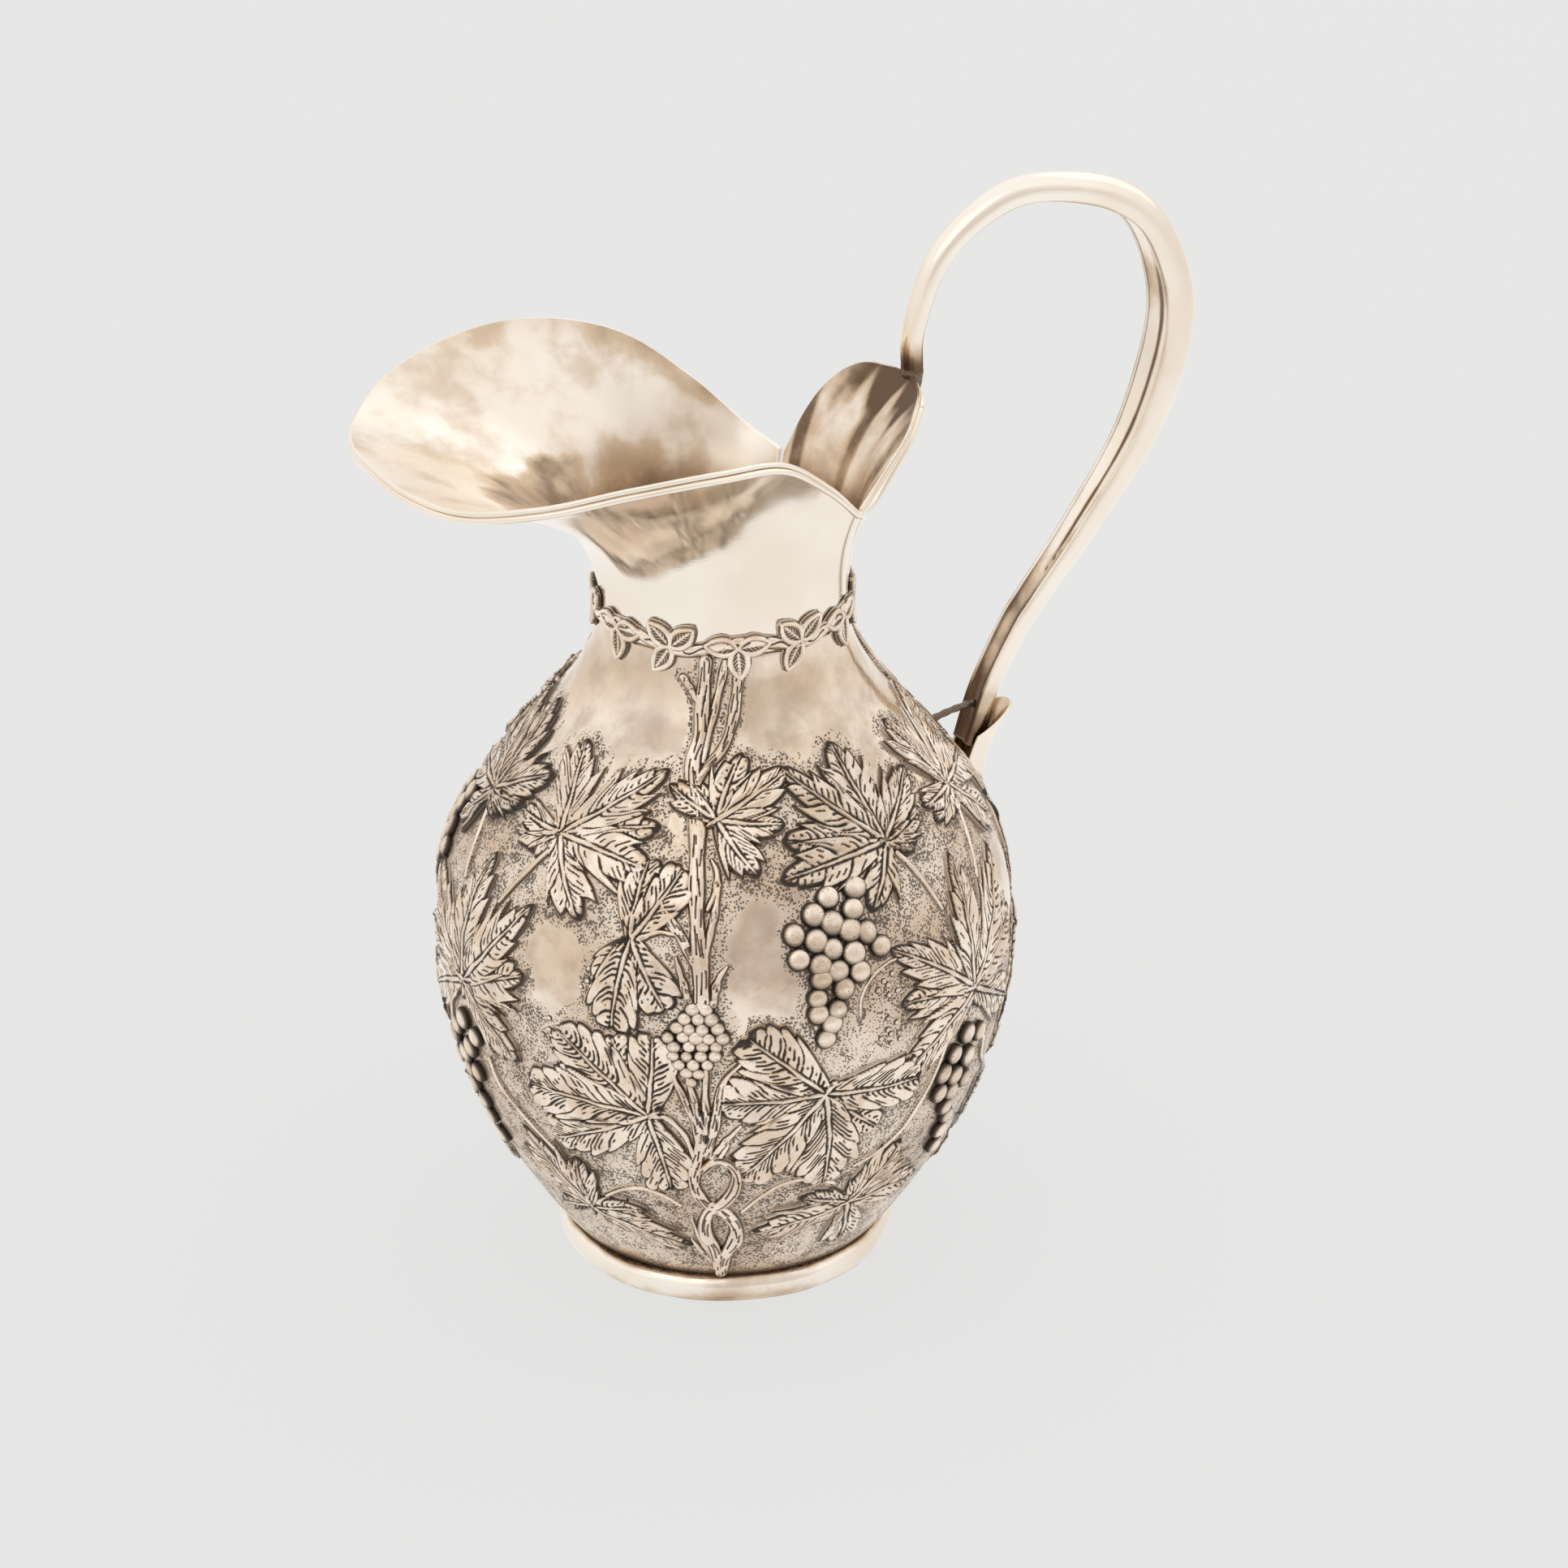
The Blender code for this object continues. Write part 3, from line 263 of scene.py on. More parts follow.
SIDE_BEADS = (
    (58.1, 74.2), (63.1, 71.9), (54.4, 70.5), (59.6, 67.2), (51.5, 66.5), (56, 63.6), (60.8, 60.7),
    (52.1, 61.1), (55.8, 59), (56.1, 54.9), (57.7, 50.3), (57.7, 45.7), (59.1, 40.2),
)
GRAPES = {"grape_bunch": (BUNCH, 2.85, 0.0), "trunk_grapes": (CLUSTER, 1.72, 0.40),
          "side_grapes": (SIDE_BEADS, 2.7, 0.0)}
# Grapes darken toward the rim as painted shade, with oxide where they meet the body, and take painted shade
# on their lower sides; each bead also gets an even darkening that differs from bead to bead
BEAD_END, BEAD_SHADE = math.radians(112), (math.radians(36), math.radians(84))
BEAD_HIGH, BEAD_HIGHEST, BEAD_RAISED = 0.60, 1.45, 0.36
BEAD_DARK, BEAD_UNDER_SHADE, BEAD_GRIME, BEAD_GRIME_MORE = 0.95, 0.36, 0.05, 0.18
BERRY_SPRIGS = ((36.0, 97.0), (36.5, 84.5), (-33.0, 84.0), (-24.5, 99.0))
BERRIES, BERRY_RADIUS, BERRY_SUNK, BERRY_TURN, BERRY_PITCH = 7, 0.72, -0.12, 2.4, (1.178, 1.75)

# Smooth windows in the punched ground: mm up where the shoulder's begins and is full, then degrees from the
# trunk, half-width, mm up and half-height of the others
SHOULDER_WINDOW = (131, 141)
WINDOWS = ((10.0, 7.5, 106.0, 17.0), (-34.0, 8.0, 101.0, 11.0), (9.0, 5.0, 86.0, 9.0))

# Collar garland
COLLAR_Z, COLLAR_WAVE, COLLAR_HALF = 168.6, 1.3, 1.5
SPRIGS = 12
LEAFLET_LENGTH, LEAFLET_HALF, LEAFLET_RAISED = 7.8, 2.7, 0.25
FIRST_SPRIG = math.radians(250.6)
SPRIG_UP, SPRIG_DOWN = (136, 42, -122), (174, 6, -86)
SPRIG_RISE, SPRIG_SINK, COLLAR_HIGH, HATCH_PITCH = 0.7, -1.2, 1.05, 0.9
COLLAR_WASH, COLLAR_STEPS, COLLAR_SPAN, COLLAR_GAP = 0.4, 900, 14, 0.1

# Camera and light
CAMERA_PLACE = (-0.5390, -1.1169, 0.7322)
CAMERA_TURN = (63.697, 0.0, -26.42)
CAMERA_LENS, CAMERA_SENSOR = 133.9, 36
FLOOR_SEEN, FLOOR_HALF = (0.80, 0.80, 0.80), 9
PAPER = (0.79, 0.79, 0.785), (0.805, 0.805, 0.80)
FLOOR_TENT, FLOOR_FAR = (1.0, 0.99, 0.975), (0.88, 0.845, 0.80)
FLOOR_FALL = (0.45, 1.5)
FLOOR_EVEN, TENT_SHARE = 0.86, 0.75
HAZE, ZENITH, HAZE_TOP = (0.90, 0.855, 0.81), (1.0, 0.985, 0.96), 0.50
DIM_SIDE, DIM_SPREAD, DIM_COLOUR = (0.0, -0.995, 0.10), (0.66, 0.98), (0.74, 0.685, 0.635)
LAMPS = (("key", (-1.6, -1.4, 2.6), 2.6, 3.0), ("rim", (2.2, 0.9, 1.7), 2.2, 3.0))
LAMP_AIM = Vector((AXIS_X, 0, 0.12))

# Colours
BRIGHT = (0.97, 0.865, 0.745)
WARM = (0.80, 0.645, 0.50)
GREY = (0.66, 0.54, 0.455)
# Near-black of oxide in the grooves, also used for painted shade
OXIDE_AND_SHADE = (0.035, 0.024, 0.017)
BROWN = (0.30, 0.20, 0.125)
POLISH_BRIGHT = (0.975, 0.915, 0.835)
POLISH_WARM = (0.935, 0.845, 0.735)
POLISH_GREY = (0.84, 0.735, 0.63)
AMBER = (0.66, 0.51, 0.365)
# Dark brown for tarnish, and for painted shade and painted reflections on the polished parts
TARNISH_AND_SHADE = (0.15, 0.092, 0.058)
OXIDE_METAL, OXIDE_ROUGH = 0.35, 0.25

# Scales of the materials' patterns, features per metre
RELIEF_CLOUDS, GROUND_CLOUDS, POLISHED_CLOUDS = 110.0, 42.0, 28.0
SPECKS, CAST_SKIN, SATIN_GRAIN = 2600.0, 1400.0, 900.0
DOTS, DOT_DRIFT, RAGGED_EDGE, WASH_CLOUDS, GROUND_WAVES = 1550.0, 260.0, 420.0, 75.0, 110.0
TARNISH_CLOUDS, SMEARS, SCRATCHES, DENTS = 70.0, 55.0, 420.0, 38.0
PAPER_GRAIN = 900.0

# Charts for baking: share left free at the edges, mm round a relief, beads in a row and mm for each
CHART_EDGE, CHART_MARGIN, CHART_BEADS, BEAD_SPAN = 0.02, 2, 8, 6.0


def spread(value, low, high):
    """Smooth rise from 0 at low to 1 at high."""
    share = np.clip((value - low) / (high - low), 0, 1)
    return share * share * (3 - 2 * share)


def fade(value, low, high):
    """Smooth fall from 1 at low to 0 at high."""
    return 1 - spread(value, low, high)


def chance(key):
    """A fixed number from 0 to 1 for each key."""
    return np.abs(np.sin(np.asarray(key, float) * 12.9898 + 4.137) * 43758.5453) % 1.0


def ridge(off, half):
    """1 on a line, falling away on both sides of it."""
    return np.exp(-(off / half) ** 2)


def unit(vectors):
    return vectors / np.maximum(np.linalg.norm(vectors, axis=-1, keepdims=True), 1e-12)


def lee_shade(x, y):
    """Strength of the shade beside an edge that faces this way: more where it faces right and down."""
    return 0.7 + 0.3 * (0.5 * x - 0.85 * y)


def along_and_off(x, y, turn):
    """Places along and beside a line that leaves the origin at this turn."""
    return x * math.cos(turn) + y * math.sin(turn), -x * math.sin(turn) + y * math.cos(turn)


def empty_relief(shape):
    """No relief yet: depth inside its edge, height and darkness."""
    return np.full(shape, NOWHERE), np.zeros(shape), np.zeros(shape)


def lay_over(under, inside, face, grooves):
    """A relief with another laid over it where that is higher."""
    best, lift, dark = under
    over = (inside > 0) & ((face > lift) | (best <= 0))
    return np.maximum(best, inside), np.where(over, face, lift), np.where(over, grooves, dark)


def smooth_line(points, count):
    """Evenly spread points on the Catmull-Rom curve through the given ones."""
    knots = np.array(points, float)
    padded = np.vstack([2 * knots[0] - knots[1], knots, 2 * knots[-1] - knots[-2]])
    dense = []
    for i in range(len(knots) - 1):
        p0, p1, p2, p3 = padded[i:i + 4]
        for t in np.linspace(0, 1, SPAN_STEPS, endpoint=i == len(knots) - 2):
            dense.append(0.5 * (2 * p1 + (p2 - p0) * t + (2 * p0 - 5 * p1 + 4 * p2 - p3) * t ** 2
                                + (3 * p1 - p0 - 3 * p2 + p3) * t ** 3))
    dense = np.array(dense)
    steps = np.linalg.norm(np.diff(dense, axis=0), axis=1)
    run = np.concatenate([[0], np.cumsum(steps)]) / steps.sum()
    places = np.linspace(0, 1, count)
    return np.column_stack([np.interp(places, run, dense[:, k]) for k in range(knots.shape[1])])


def body_radius(z):
    """Outer radius of the body at these heights."""
    z = np.asarray(z, float)
    low = np.clip((z - BASE_Z) / (BELLY_Z - BASE_Z), 0, 1)
    high = np.clip((z - BELLY_Z) / (NECK_Z - BELLY_Z), 0, 1)
    bowl = BASE_R + (BELLY_R - BASE_R) * np.sin(np.pi / 2 * low ** BELLY_FULLNESS)
    shoulder = NECK_R + (BELLY_R - NECK_R) * (1 + np.cos(np.pi * high ** SHOULDER_FULLNESS)) / 2
    return np.where(z < BELLY_Z, bowl, shoulder)


OUTLINE_Z = np.linspace(BASE_Z, NECK_Z + NECK_RUN, OUTLINE_POINTS)
OUTLINE_R = body_radius(OUTLINE_Z)
OUTLINE_UP = np.concatenate([[0], np.cumsum(np.hypot(np.diff(OUTLINE_Z), np.diff(OUTLINE_R)))])
OUTLINE_SLOPE = np.gradient(OUTLINE_R, OUTLINE_Z)
TALL = float(np.interp(NECK_Z, OUTLINE_Z, OUTLINE_UP))


def radius_up(up):
    return np.interp(up, OUTLINE_UP, OUTLINE_R)


def in_frame(reach, side, z):
    """Points in metres, in the model's frame, from mm off the vessel's axis, to its side and up."""
    return np.stack([AXIS_X + reach * MM, side * MM, z * MM], axis=-1)


def in_room(angle, radius, z):
    """Points in metres, in the model's frame, from an angle and mm out and up about the vessel's axis."""
    return in_frame(radius * np.cos(angle), radius * np.sin(angle), z)


def on_body(angle, up, lift):
    """Points lifted off the body along its normal."""
    radius, z = radius_up(up), np.interp(up, OUTLINE_UP, OUTLINE_Z)
    slope = np.interp(up, OUTLINE_UP, OUTLINE_SLOPE)
    lean = np.hypot(1, slope)
    return in_room(angle, radius + lift / lean, z - lift * slope / lean)


def rim_line(stations, turn, reach, top, count):
    """Rim points over both halves, notch to notch: angle, radius, height."""
    half = [(share * turn, NOTCH_R + out * (reach - NOTCH_R), NOTCH_Z + rise * (top - NOTCH_Z))
            for share, out, rise in stations]
    whole = [(-angle, radius, z) for angle, radius, z in reversed(half[1:])] + half
    return smooth_line(np.array(whole) * (NECK_R, 1, 1), count) / (NECK_R, 1, 1)


SPOUT_LINE = rim_line(SPOUT_RIM, math.pi - NOTCH_TURN - NOTCH_GAP, SPOUT_REACH, SPOUT_TOP, SPOUT_POINTS)
LIP_LINE = rim_line(LIP_RIM, NOTCH_TURN - NOTCH_GAP, LIP_REACH, LIP_TOP, LIP_POINTS)


def neck_radius(angle, z):
    """Outer radius of body and neck near the collar."""
    around = np.mod(angle, 2 * math.pi)
    spout = SPOUT_LINE + (math.pi, 0, 0)
    lip = LIP_LINE + (2 * math.pi, 0, 0)
    rim = np.vstack([lip[len(lip) // 2:] - (2 * math.pi, 0, 0), spout, lip[:len(lip) // 2 + 1]])
    reach, top = np.interp(around, rim[:, 0], rim[:, 1]), np.interp(around, rim[:, 0], rim[:, 2])
    share = np.clip((z - NECK_Z) / (top - NECK_Z), 0, 1)
    return np.where(z < NECK_Z, body_radius(z), NECK_R + (reach - NECK_R) * share ** FLARE_POWER)


def add_object(name, data):
    made = bpy.data.objects.new(name, data)
    bpy.context.scene.collection.objects.link(made)
    return made


def add_piece(name, points, faces, material, replaced=(), marks=None, chart=None):
    """A smooth mesh piece from points in metres, quads or triangles, per-point marks and a chart."""
    loops = np.concatenate([np.asarray(f).ravel() for f in faces]).astype(np.int32)
    sizes = np.concatenate([np.full(len(f), np.asarray(f).shape[1]) for f in faces])
    starts = np.concatenate([[0], np.cumsum(sizes)[:-1]]).astype(np.int32)
    mesh = bpy.data.meshes.new(name)
    mesh.vertices.add(len(points))
    mesh.vertices.foreach_set("co", np.clip(points, *INSIDE_BOX).astype(np.float32).ravel())
    mesh.loops.add(len(loops))
    mesh.loops.foreach_set("vertex_index", loops)
    mesh.polygons.add(len(sizes))
    mesh.polygons.foreach_set("loop_start", starts)
    mesh.polygons.foreach_set("use_smooth", np.ones(len(sizes), bool))
    for mark, values in (marks or {}).items():
        layer = mesh.attributes.new(mark, "FLOAT", "POINT")
        layer.data.foreach_set("value", np.asarray(values, np.float32))
    if chart is not None:
        layer = mesh.uv_layers.new(name="OFBake")
        layer.uv.foreach_set("vector", np.asarray(chart, np.float32)[loops].ravel())
    mesh.update(calc_edges=True)
    mesh.validate()
    mesh.materials.append(material)
    piece = add_object(name, mesh)
    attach(piece, "root")
    if replaced:
        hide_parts(*replaced)
    return piece


def add_grid(name, grid, faces, material, replaced, marks):
    """A piece whose points are a grid, with marks and a chart spread over it."""
    rows, columns = grid.shape[:2]
    marks = {mark: np.broadcast_to(values, (rows, columns)).ravel() for mark, values in marks.items()}
    across, along = np.meshgrid(np.linspace(CHART_EDGE, 1 - CHART_EDGE, columns),
                                np.linspace(CHART_EDGE, 1 - CHART_EDGE, rows))
    chart = np.stack([across, along], -1).reshape(-1, 2)
    add_piece(name, grid.reshape(-1, 3), faces, material, replaced, marks, chart)


def grid_faces(rows, columns, around=False, start=0):
    """Quads of a grid of points stored row by row."""
    i, j = np.meshgrid(np.arange(rows - 1), np.arange(columns if around else columns - 1), indexing="ij")
    low, high, right = i * columns, (i + 1) * columns, (j + 1) % columns
    return np.stack([low + j, low + right, high + right, high + j], -1).reshape(-1, 4) + start


def fold_faces(rows, columns):
    """Quads that close the sides and the foot of a sheet whose grid goes up one face and down the other."""
    i, j = np.arange(rows // 2 - 1), np.arange(columns - 1)
    last = (rows - 1) * columns
    quads = [np.stack([last + j, last + j + 1, j + 1, j], -1)]
    for column, step in ((0, 1), (columns - 1, -1)):
        near, far = i * columns + column, last - i * columns + column
        quads.append(np.stack([near, near + columns, far - columns, far], -1)[:, ::step])
    return np.concatenate(quads)


def lobe_relief(x, y, turn, length, style, key):
    """One leaf lobe: depth inside its edge, height of its face and darkness of its grooves."""
    along, off = along_and_off(x, y, turn)
    off = off - length * LOBE_BEND * (chance(key) - 0.5) * np.clip(along / length, 0, 1.2) ** 2
    side = (off > 0) * 1.0
    width = np.abs(off)
    vein, peak = style["vein"], style["peak"]
    half = float(np.clip(length * style["width"], LOBE_LEAST, style["most"]))
    origin = along - width / math.tan(vein) * (VEIN_START + VEIN_CURVE * width / half)
    share = np.clip((origin / length + LOBE_BACK) / (1 + LOBE_BACK), 0, 1)
    strips = max(FEWEST_STRIPS, length / style["strip"])
    place = origin / length * strips + SIDE_SHIFT * side + chance(key + 2)
    place = place + 0.10 * np.sin(width * 1.1 + key)
    strip = np.floor(place)
    phase = place - strip
    if style is FEATHERED:
        point = 1 - TOOTH_DEPTH * (1 - phase ** 1.3 * fade(phase, 0.88, 1.0))
    else:
        point = 1 - WAVE_DEPTH * (1 - np.sin(np.pi * phase ** 1.5) ** 0.6)
    tip = spread(share, *TIP)
    uneven = UNEVEN_LEAST + UNEVEN_MORE * chance(strip * 3.1 + side * 7.7 + key)
    tooth = point * uneven * (1 - tip) + TIP_FULL * tip
    rise = np.sin(np.pi / 2 * np.clip(share / peak, 0, 1)) ** 0.8
    fall = np.clip((1 - share) / (1 - peak), 0, 1) ** style["fall"]
    reach = half * rise * fall * tooth
    envelope = (half * rise * fall * TIP_FULL - width) * EDGE_SLANT
    inside = (reach - width) * EDGE_SLANT
    away = spread(-envelope, 0.4, 2.2) * (inside < 0)
    inside = inside * (1 - away) + np.minimum(envelope, -0.3) * away
    beyond = np.maximum(origin - length, -LOBE_BACK * length - origin)
    inside = np.where(beyond > 0, -np.hypot(beyond, width), inside)
    strip_width = length / strips * math.sin(vein)
    run = width / np.maximum(reach, 0.1)
    border = ridge(np.minimum(phase, 1 - phase) * strip_width, FOLD_HALF) * spread(run, 0.10, 0.45)
    border = border * style["border"] * (0.35 + 0.65 * chance(np.floor(place + 0.5) * 2.3 + side + key))
    fine = place * style["lines"] + 0.15 * np.sin(width * 2.1 + key)
    line = np.floor(fine + 0.5)
    drawn = chance(line * 1.7 + side * 3.3 + key)
    dash = chance(line * 0.77 + np.floor(run * 5 + drawn * 3) * 0.61 + key) > style["gaps"]
    stroke = ridge(np.abs(fine - line) * strip_width / style["lines"], style["line"]) * dash
    stop = style["reach"] + 0.45 * drawn
    stroke = stroke * spread(run, 0.05, 0.2) * fade(run, stop, stop + 0.15)
    taper = 1.1 - 0.7 * np.clip(along / length, 0, 1)
    rib = ridge(width, RIB_HALF * taper)
    beside = ridge(width - RIB_GROOVE * taper, RIB_GROOVE_HALF)
    beside = beside * (0.6 + 0.4 * np.sin(along * 0.9 + key * side))
    dished = 0.6 * (chance(key + 9) > 0.5)
    dome = np.sqrt(np.clip(1 - 0.85 * run ** 2, 0.04, 1)) * (1 - dished) + (0.45 + 0.4 * run ** 2) * dished
    wave = LOBE_WAVE * np.sin(along * 0.55 + key) * np.sin(width * 0.8 + 1.3 * side)
    tilt = LOBE_TILT * (chance(key + 7) - 0.5) * off / half
    lift = LOBE_LOW + LOBE_DOME * dome + wave + tilt + 0.14 * np.sin(np.pi * phase) * spread(run, 0.1, 0.5)
    lift = lift + RIB_LIFT * rib + RIM_LIFT * ridge(inside - RIM_INSET, RIM_HALF)
    lift = lift - FOLD_DEPTH * border - LINE_DEPTH * stroke - RIB_GROOVE_DEPTH * beside
    dark = np.clip(0.8 * border + (0.6 + 0.4 * drawn) * stroke + np.clip(beside, 0, 1), 0, 1)
    return inside, lift, dark


def leaf_relief(leaf, key):
    """The relief of a whole leaf as a function of mm across and up from its middle; long lobes lie on top."""
    _, _, lobes, style = leaf
    order = sorted(range(len(lobes)), key=lambda number: lobes[number][1])

    def relief(x, y):
        best, top, face = (np.full(x.shape, NOWHERE) for _ in range(3))
        lift, dark = np.zeros(x.shape), np.zeros(x.shape)
        middle = np.hypot(x, y)
        layer = 9.0 * spread(middle, *LAYERED)
        for level, number in enumerate(order):
            turn, length = lobes[number]
            inside, height, grooves = lobe_relief(x, y, math.radians(turn), length, style, key + 5.3 * number)
            rank = inside + level * layer * (inside > 0)
            wins = rank > top
            top, face = np.where(wins, rank, top), np.where(wins, inside, face)
            lift, dark = np.where(wins, height, lift), np.where(wins, grooves, dark)
            best = np.maximum(best, inside)
        lift = lift * (0.5 + 0.5 * spread(face, -0.1, 0.75)) - 0.35 * ridge(middle, 2.2)
        # A dark line along each lobe's edge: painted shadow where lobes overlap, with oxide in the crease
        outline = fade(face, 0.0, 0.52) * spread(middle, 2.5, 5.0)
        return best, np.maximum(lift, 0.12), np.clip(dark + 0.95 * outline, 0, 1)

    return relief


def strand_relief(x, y, line, halves, height, key):
    """One vine strand with grooved bark; line in mm."""
    length = np.linalg.norm(np.diff(np.array(line), axis=0), axis=1).sum()
    path = smooth_line(line, max(8, int(length / STRAND_STEP)))
    inside, lift, dark = empty_relief(x.shape)
    margin = max(halves) + STRAND_MARGIN
    low, high = path.min(axis=0) - margin, path.max(axis=0) + margin
    near = (x > low[0]) & (x < high[0]) & (y > low[1]) & (y < high[1])
    if not near.any():
        return inside, lift, dark
    px, py = x[near], y[near]
    gap, run, side = np.full(px.shape, np.inf), np.zeros(px.shape), np.zeros(px.shape)
    for k in range(len(path) - 1):
        step = path[k + 1] - path[k]
        share = np.clip(((px - path[k, 0]) * step[0] + (py - path[k, 1]) * step[1]) / (step @ step), 0, 1)
        dx, dy = px - path[k, 0] - share * step[0], py - path[k, 1] - share * step[1]
        far = np.hypot(dx, dy)
        closer = far < gap
        gap = np.where(closer, far, gap)
        run = np.where(closer, (k + share) / (len(path) - 1), run)
        side = np.where(closer, np.sign(step[0] * dy - step[1] * dx), side)
    half = np.interp(run, (0, 0.5, 1), halves) * (1 + 0.10 * np.sin(run * 17 + key))
    inside[near] = half - gap
    across = np.clip(gap / half, 0, 1) * side
    bark = np.zeros(px.shape)
    for n, groove in enumerate(BARK_GROOVES):
        wander = groove + 0.16 * np.sin(run * (9 + 4 * n) + key + 2 * n)
        drawn = np.sin(run * (23 + 7 * n) + key * 1.7 + n) > -0.35
        bark = np.maximum(bark, ridge((across - wander) * half, BARK_HALF) * drawn)
    bark = bark * spread(half, 0.7, 1.1)
    lift[near] = height * np.sqrt(np.clip(1 - 0.85 * across ** 2, 0.02, 1)) - BARK_DEPTH * bark
    dark[near] = np.clip(0.85 * bark + 0.45 * spread(np.abs(across), 0.72, 1.0), 0, 1)
    return inside, lift, dark


def vine_relief(strands, key):
    """The relief of several strands as a function of mm across from the trunk's angle and mm up."""

    def relief(x, y):
        whole = empty_relief(x.shape)
        for number, (line, halves, height) in enumerate(strands):
            flat = [(math.radians(d) * float(radius_up(up)), up) for d, up in line]
            whole = lay_over(whole, *strand_relief(x, y, flat, halves, height, key + 2.9 * number))
        best, lift, dark = whole
        return best, np.maximum(lift, LEAST_LIFT), dark

    return relief


def box_mean(values, reach):
    """Mean of a grid over squares that reach so many points to each side."""
    size = 2 * reach + 1
    for axis in (0, 1):
        sides = [(reach + 1, reach) if axis == other else (0, 0) for other in (0, 1)]
        run = np.moveaxis(np.cumsum(np.pad(values, sides, mode="edge"), axis=axis), axis, 0)
        values = np.moveaxis((run[size:] - run[:-size]) / size, 0, axis)
    return values


def sample_relief(relief, box, step, wash=1.0):
    """A relief on a grid, with the grid's outer points drawn in to the relief's edge."""
    x, y = np.meshgrid(np.arange(box[0], box[1] + step, step), np.arange(box[2], box[3] + step, step))
    inside, _, _ = relief(x, y)
    grow_y, grow_x = np.gradient(inside, step)
    grow = grow_x ** 2 + grow_y ** 2 + 1e-6
    keep = inside > 0
    near = inside > -1.6 * step * np.sqrt(grow)
    corners = (slice(None, -1), slice(1, None))
    cells = np.zeros((x.shape[0] - 1, x.shape[1] - 1), bool)
    sound = np.ones_like(cells)
    for rows in corners:
        for columns in corners:
            cells |= keep[rows, columns]
            sound &= near[rows, columns]
    cells &= sound
    outer = ~keep
    x = np.where(outer, x + np.clip(-inside * grow_x / grow, -step, step), x)
    y = np.where(outer, y + np.clip(-inside * grow_y / grow, -step, step), y)
    _, lift, dark = relief(x, y)
    hollow = spread(box_mean(lift, HOLLOW_REACH) - lift, *HOLLOW_DEPTH)
    valley = spread(box_mean(lift, VALLEY_REACH) - lift, *VALLEY_DEPTH)
    dark = np.clip(dark + wash * (HOLLOW_WASH * hollow + VALLEY_WASH * valley), 0, 1)
    size = np.sqrt(grow)
    return {"x": x, "y": y, "lift": lift, "dark": dark, "cells": cells, "out_x": -grow_x / size,
            "out_y": -grow_y / size, "box": box}


def relief_mesh(sample, base=0.0, wash=0.0):
    """Faces and flat points of a relief: its face, a wall down to the ground and a narrow apron."""
    cells = sample["cells"]
    columns = sample["x"].shape[1]
    i, j = np.nonzero(cells)
    here, above = i * columns + j, (i + 1) * columns + j
    used, quads = np.unique(np.stack([here, here + 1, above + 1, above], -1), return_inverse=True)
    quads = quads.reshape(-1, 4)
    padded = np.pad(cells, 1)
    edges = []
    for di, dj, a, b in ((-1, 0, 0, 1), (0, 1, 1, 2), (1, 0, 2, 3), (0, -1, 3, 0)):
        open_side = ~padded[1 + i + di, 1 + j + dj]
        edges.append(quads[open_side][:, (a, b)])
    edges = np.concatenate(edges)
    rim, ends = np.unique(edges, return_inverse=True)
    ends = ends.reshape(-1, 2)
    flat = {k: sample[k].ravel()[used] for k in ("x", "y", "lift", "dark", "out_x", "out_y")}
    count, skirt = len(used), len(rim)
    top, low, far = count, count + skirt, count + 2 * skirt
    walls = np.stack([ends[:, 1] + top, ends[:, 0] + top, ends[:, 0] + low, ends[:, 1] + low], -1)
    aprons = np.stack([ends[:, 1] + low, ends[:, 0] + low, ends[:, 0] + far, ends[:, 1] + far], -1)
    rx, ry = flat["x"][rim], flat["y"][rim]
    ox, oy = flat["out_x"][rim], flat["out_y"][rim]
    x = np.concatenate([flat["x"], rx, rx + WALL_OUT * ox, rx + APRON * ox])
    y = np.concatenate([flat["y"], ry, ry + WALL_OUT * oy, ry + APRON * oy])
    lift = np.concatenate([flat["lift"] + base, flat["lift"][rim] + base,
                           np.full(skirt, WALL_FOOT), np.full(skirt, APRON_LIFT)])
    # The wall and apron darken as painted shade beside the relief, stronger where the edge faces right and
    # down, with some oxide in the crevice
    lee = lee_shade(ox, oy)
    dark = np.concatenate([flat["dark"], 0.40 * lee, 0.95 * lee, math.exp(-APRON / SHADE_REACH) * lee])
    # An even darkening over the whole relief; on the leaves it is painted shade
    dark = np.clip(dark + wash, 0, 1)
    box = sample["box"]
    size = max(box[1] - box[0], box[3] - box[2]) + 2 * CHART_MARGIN
    chart = np.stack([(x - box[0] + CHART_MARGIN) / size, (y - box[2] + CHART_MARGIN) / size], -1)
    return x, y, lift, dark, (quads, walls, aprons), chart


def node_of(tree, kind, links=None, **values):
    """A shader node with these socket values and links; keys are socket names or node settings."""
    node = tree.nodes.new(kind)
    for key, value in values.items():
        if hasattr(node, key):
            setattr(node, key, value)
        else:
            node.inputs[key.replace("_", " ")].default_value = value
    for key, source in (links or {}).items():
        tree.links.new(source, node.inputs[key])
    return node


def mark_of(tree, name):
    return node_of(tree, "ShaderNodeAttribute", attribute_name=name).outputs["Fac"]


def ramp(tree, source, low, high, start=0.0, end=1.0):
    node = node_of(tree, "ShaderNodeMapRange", {"Value": source}, interpolation_type="SMOOTHSTEP")
    for key, value in zip(("From Min", "From Max", "To Min", "To Max"), (low, high, start, end)):
        node.inputs[key].default_value = value
    return node.outputs["Result"]


def maths(tree, operation, a, b):
    node = node_of(tree, "ShaderNodeMath", operation=operation)
    for socket, value in zip(node.inputs, (a, b)):
        if isinstance(value, (int, float)):
            socket.default_value = value
        else:
            tree.links.new(value, socket)
    return node.outputs["Value"]


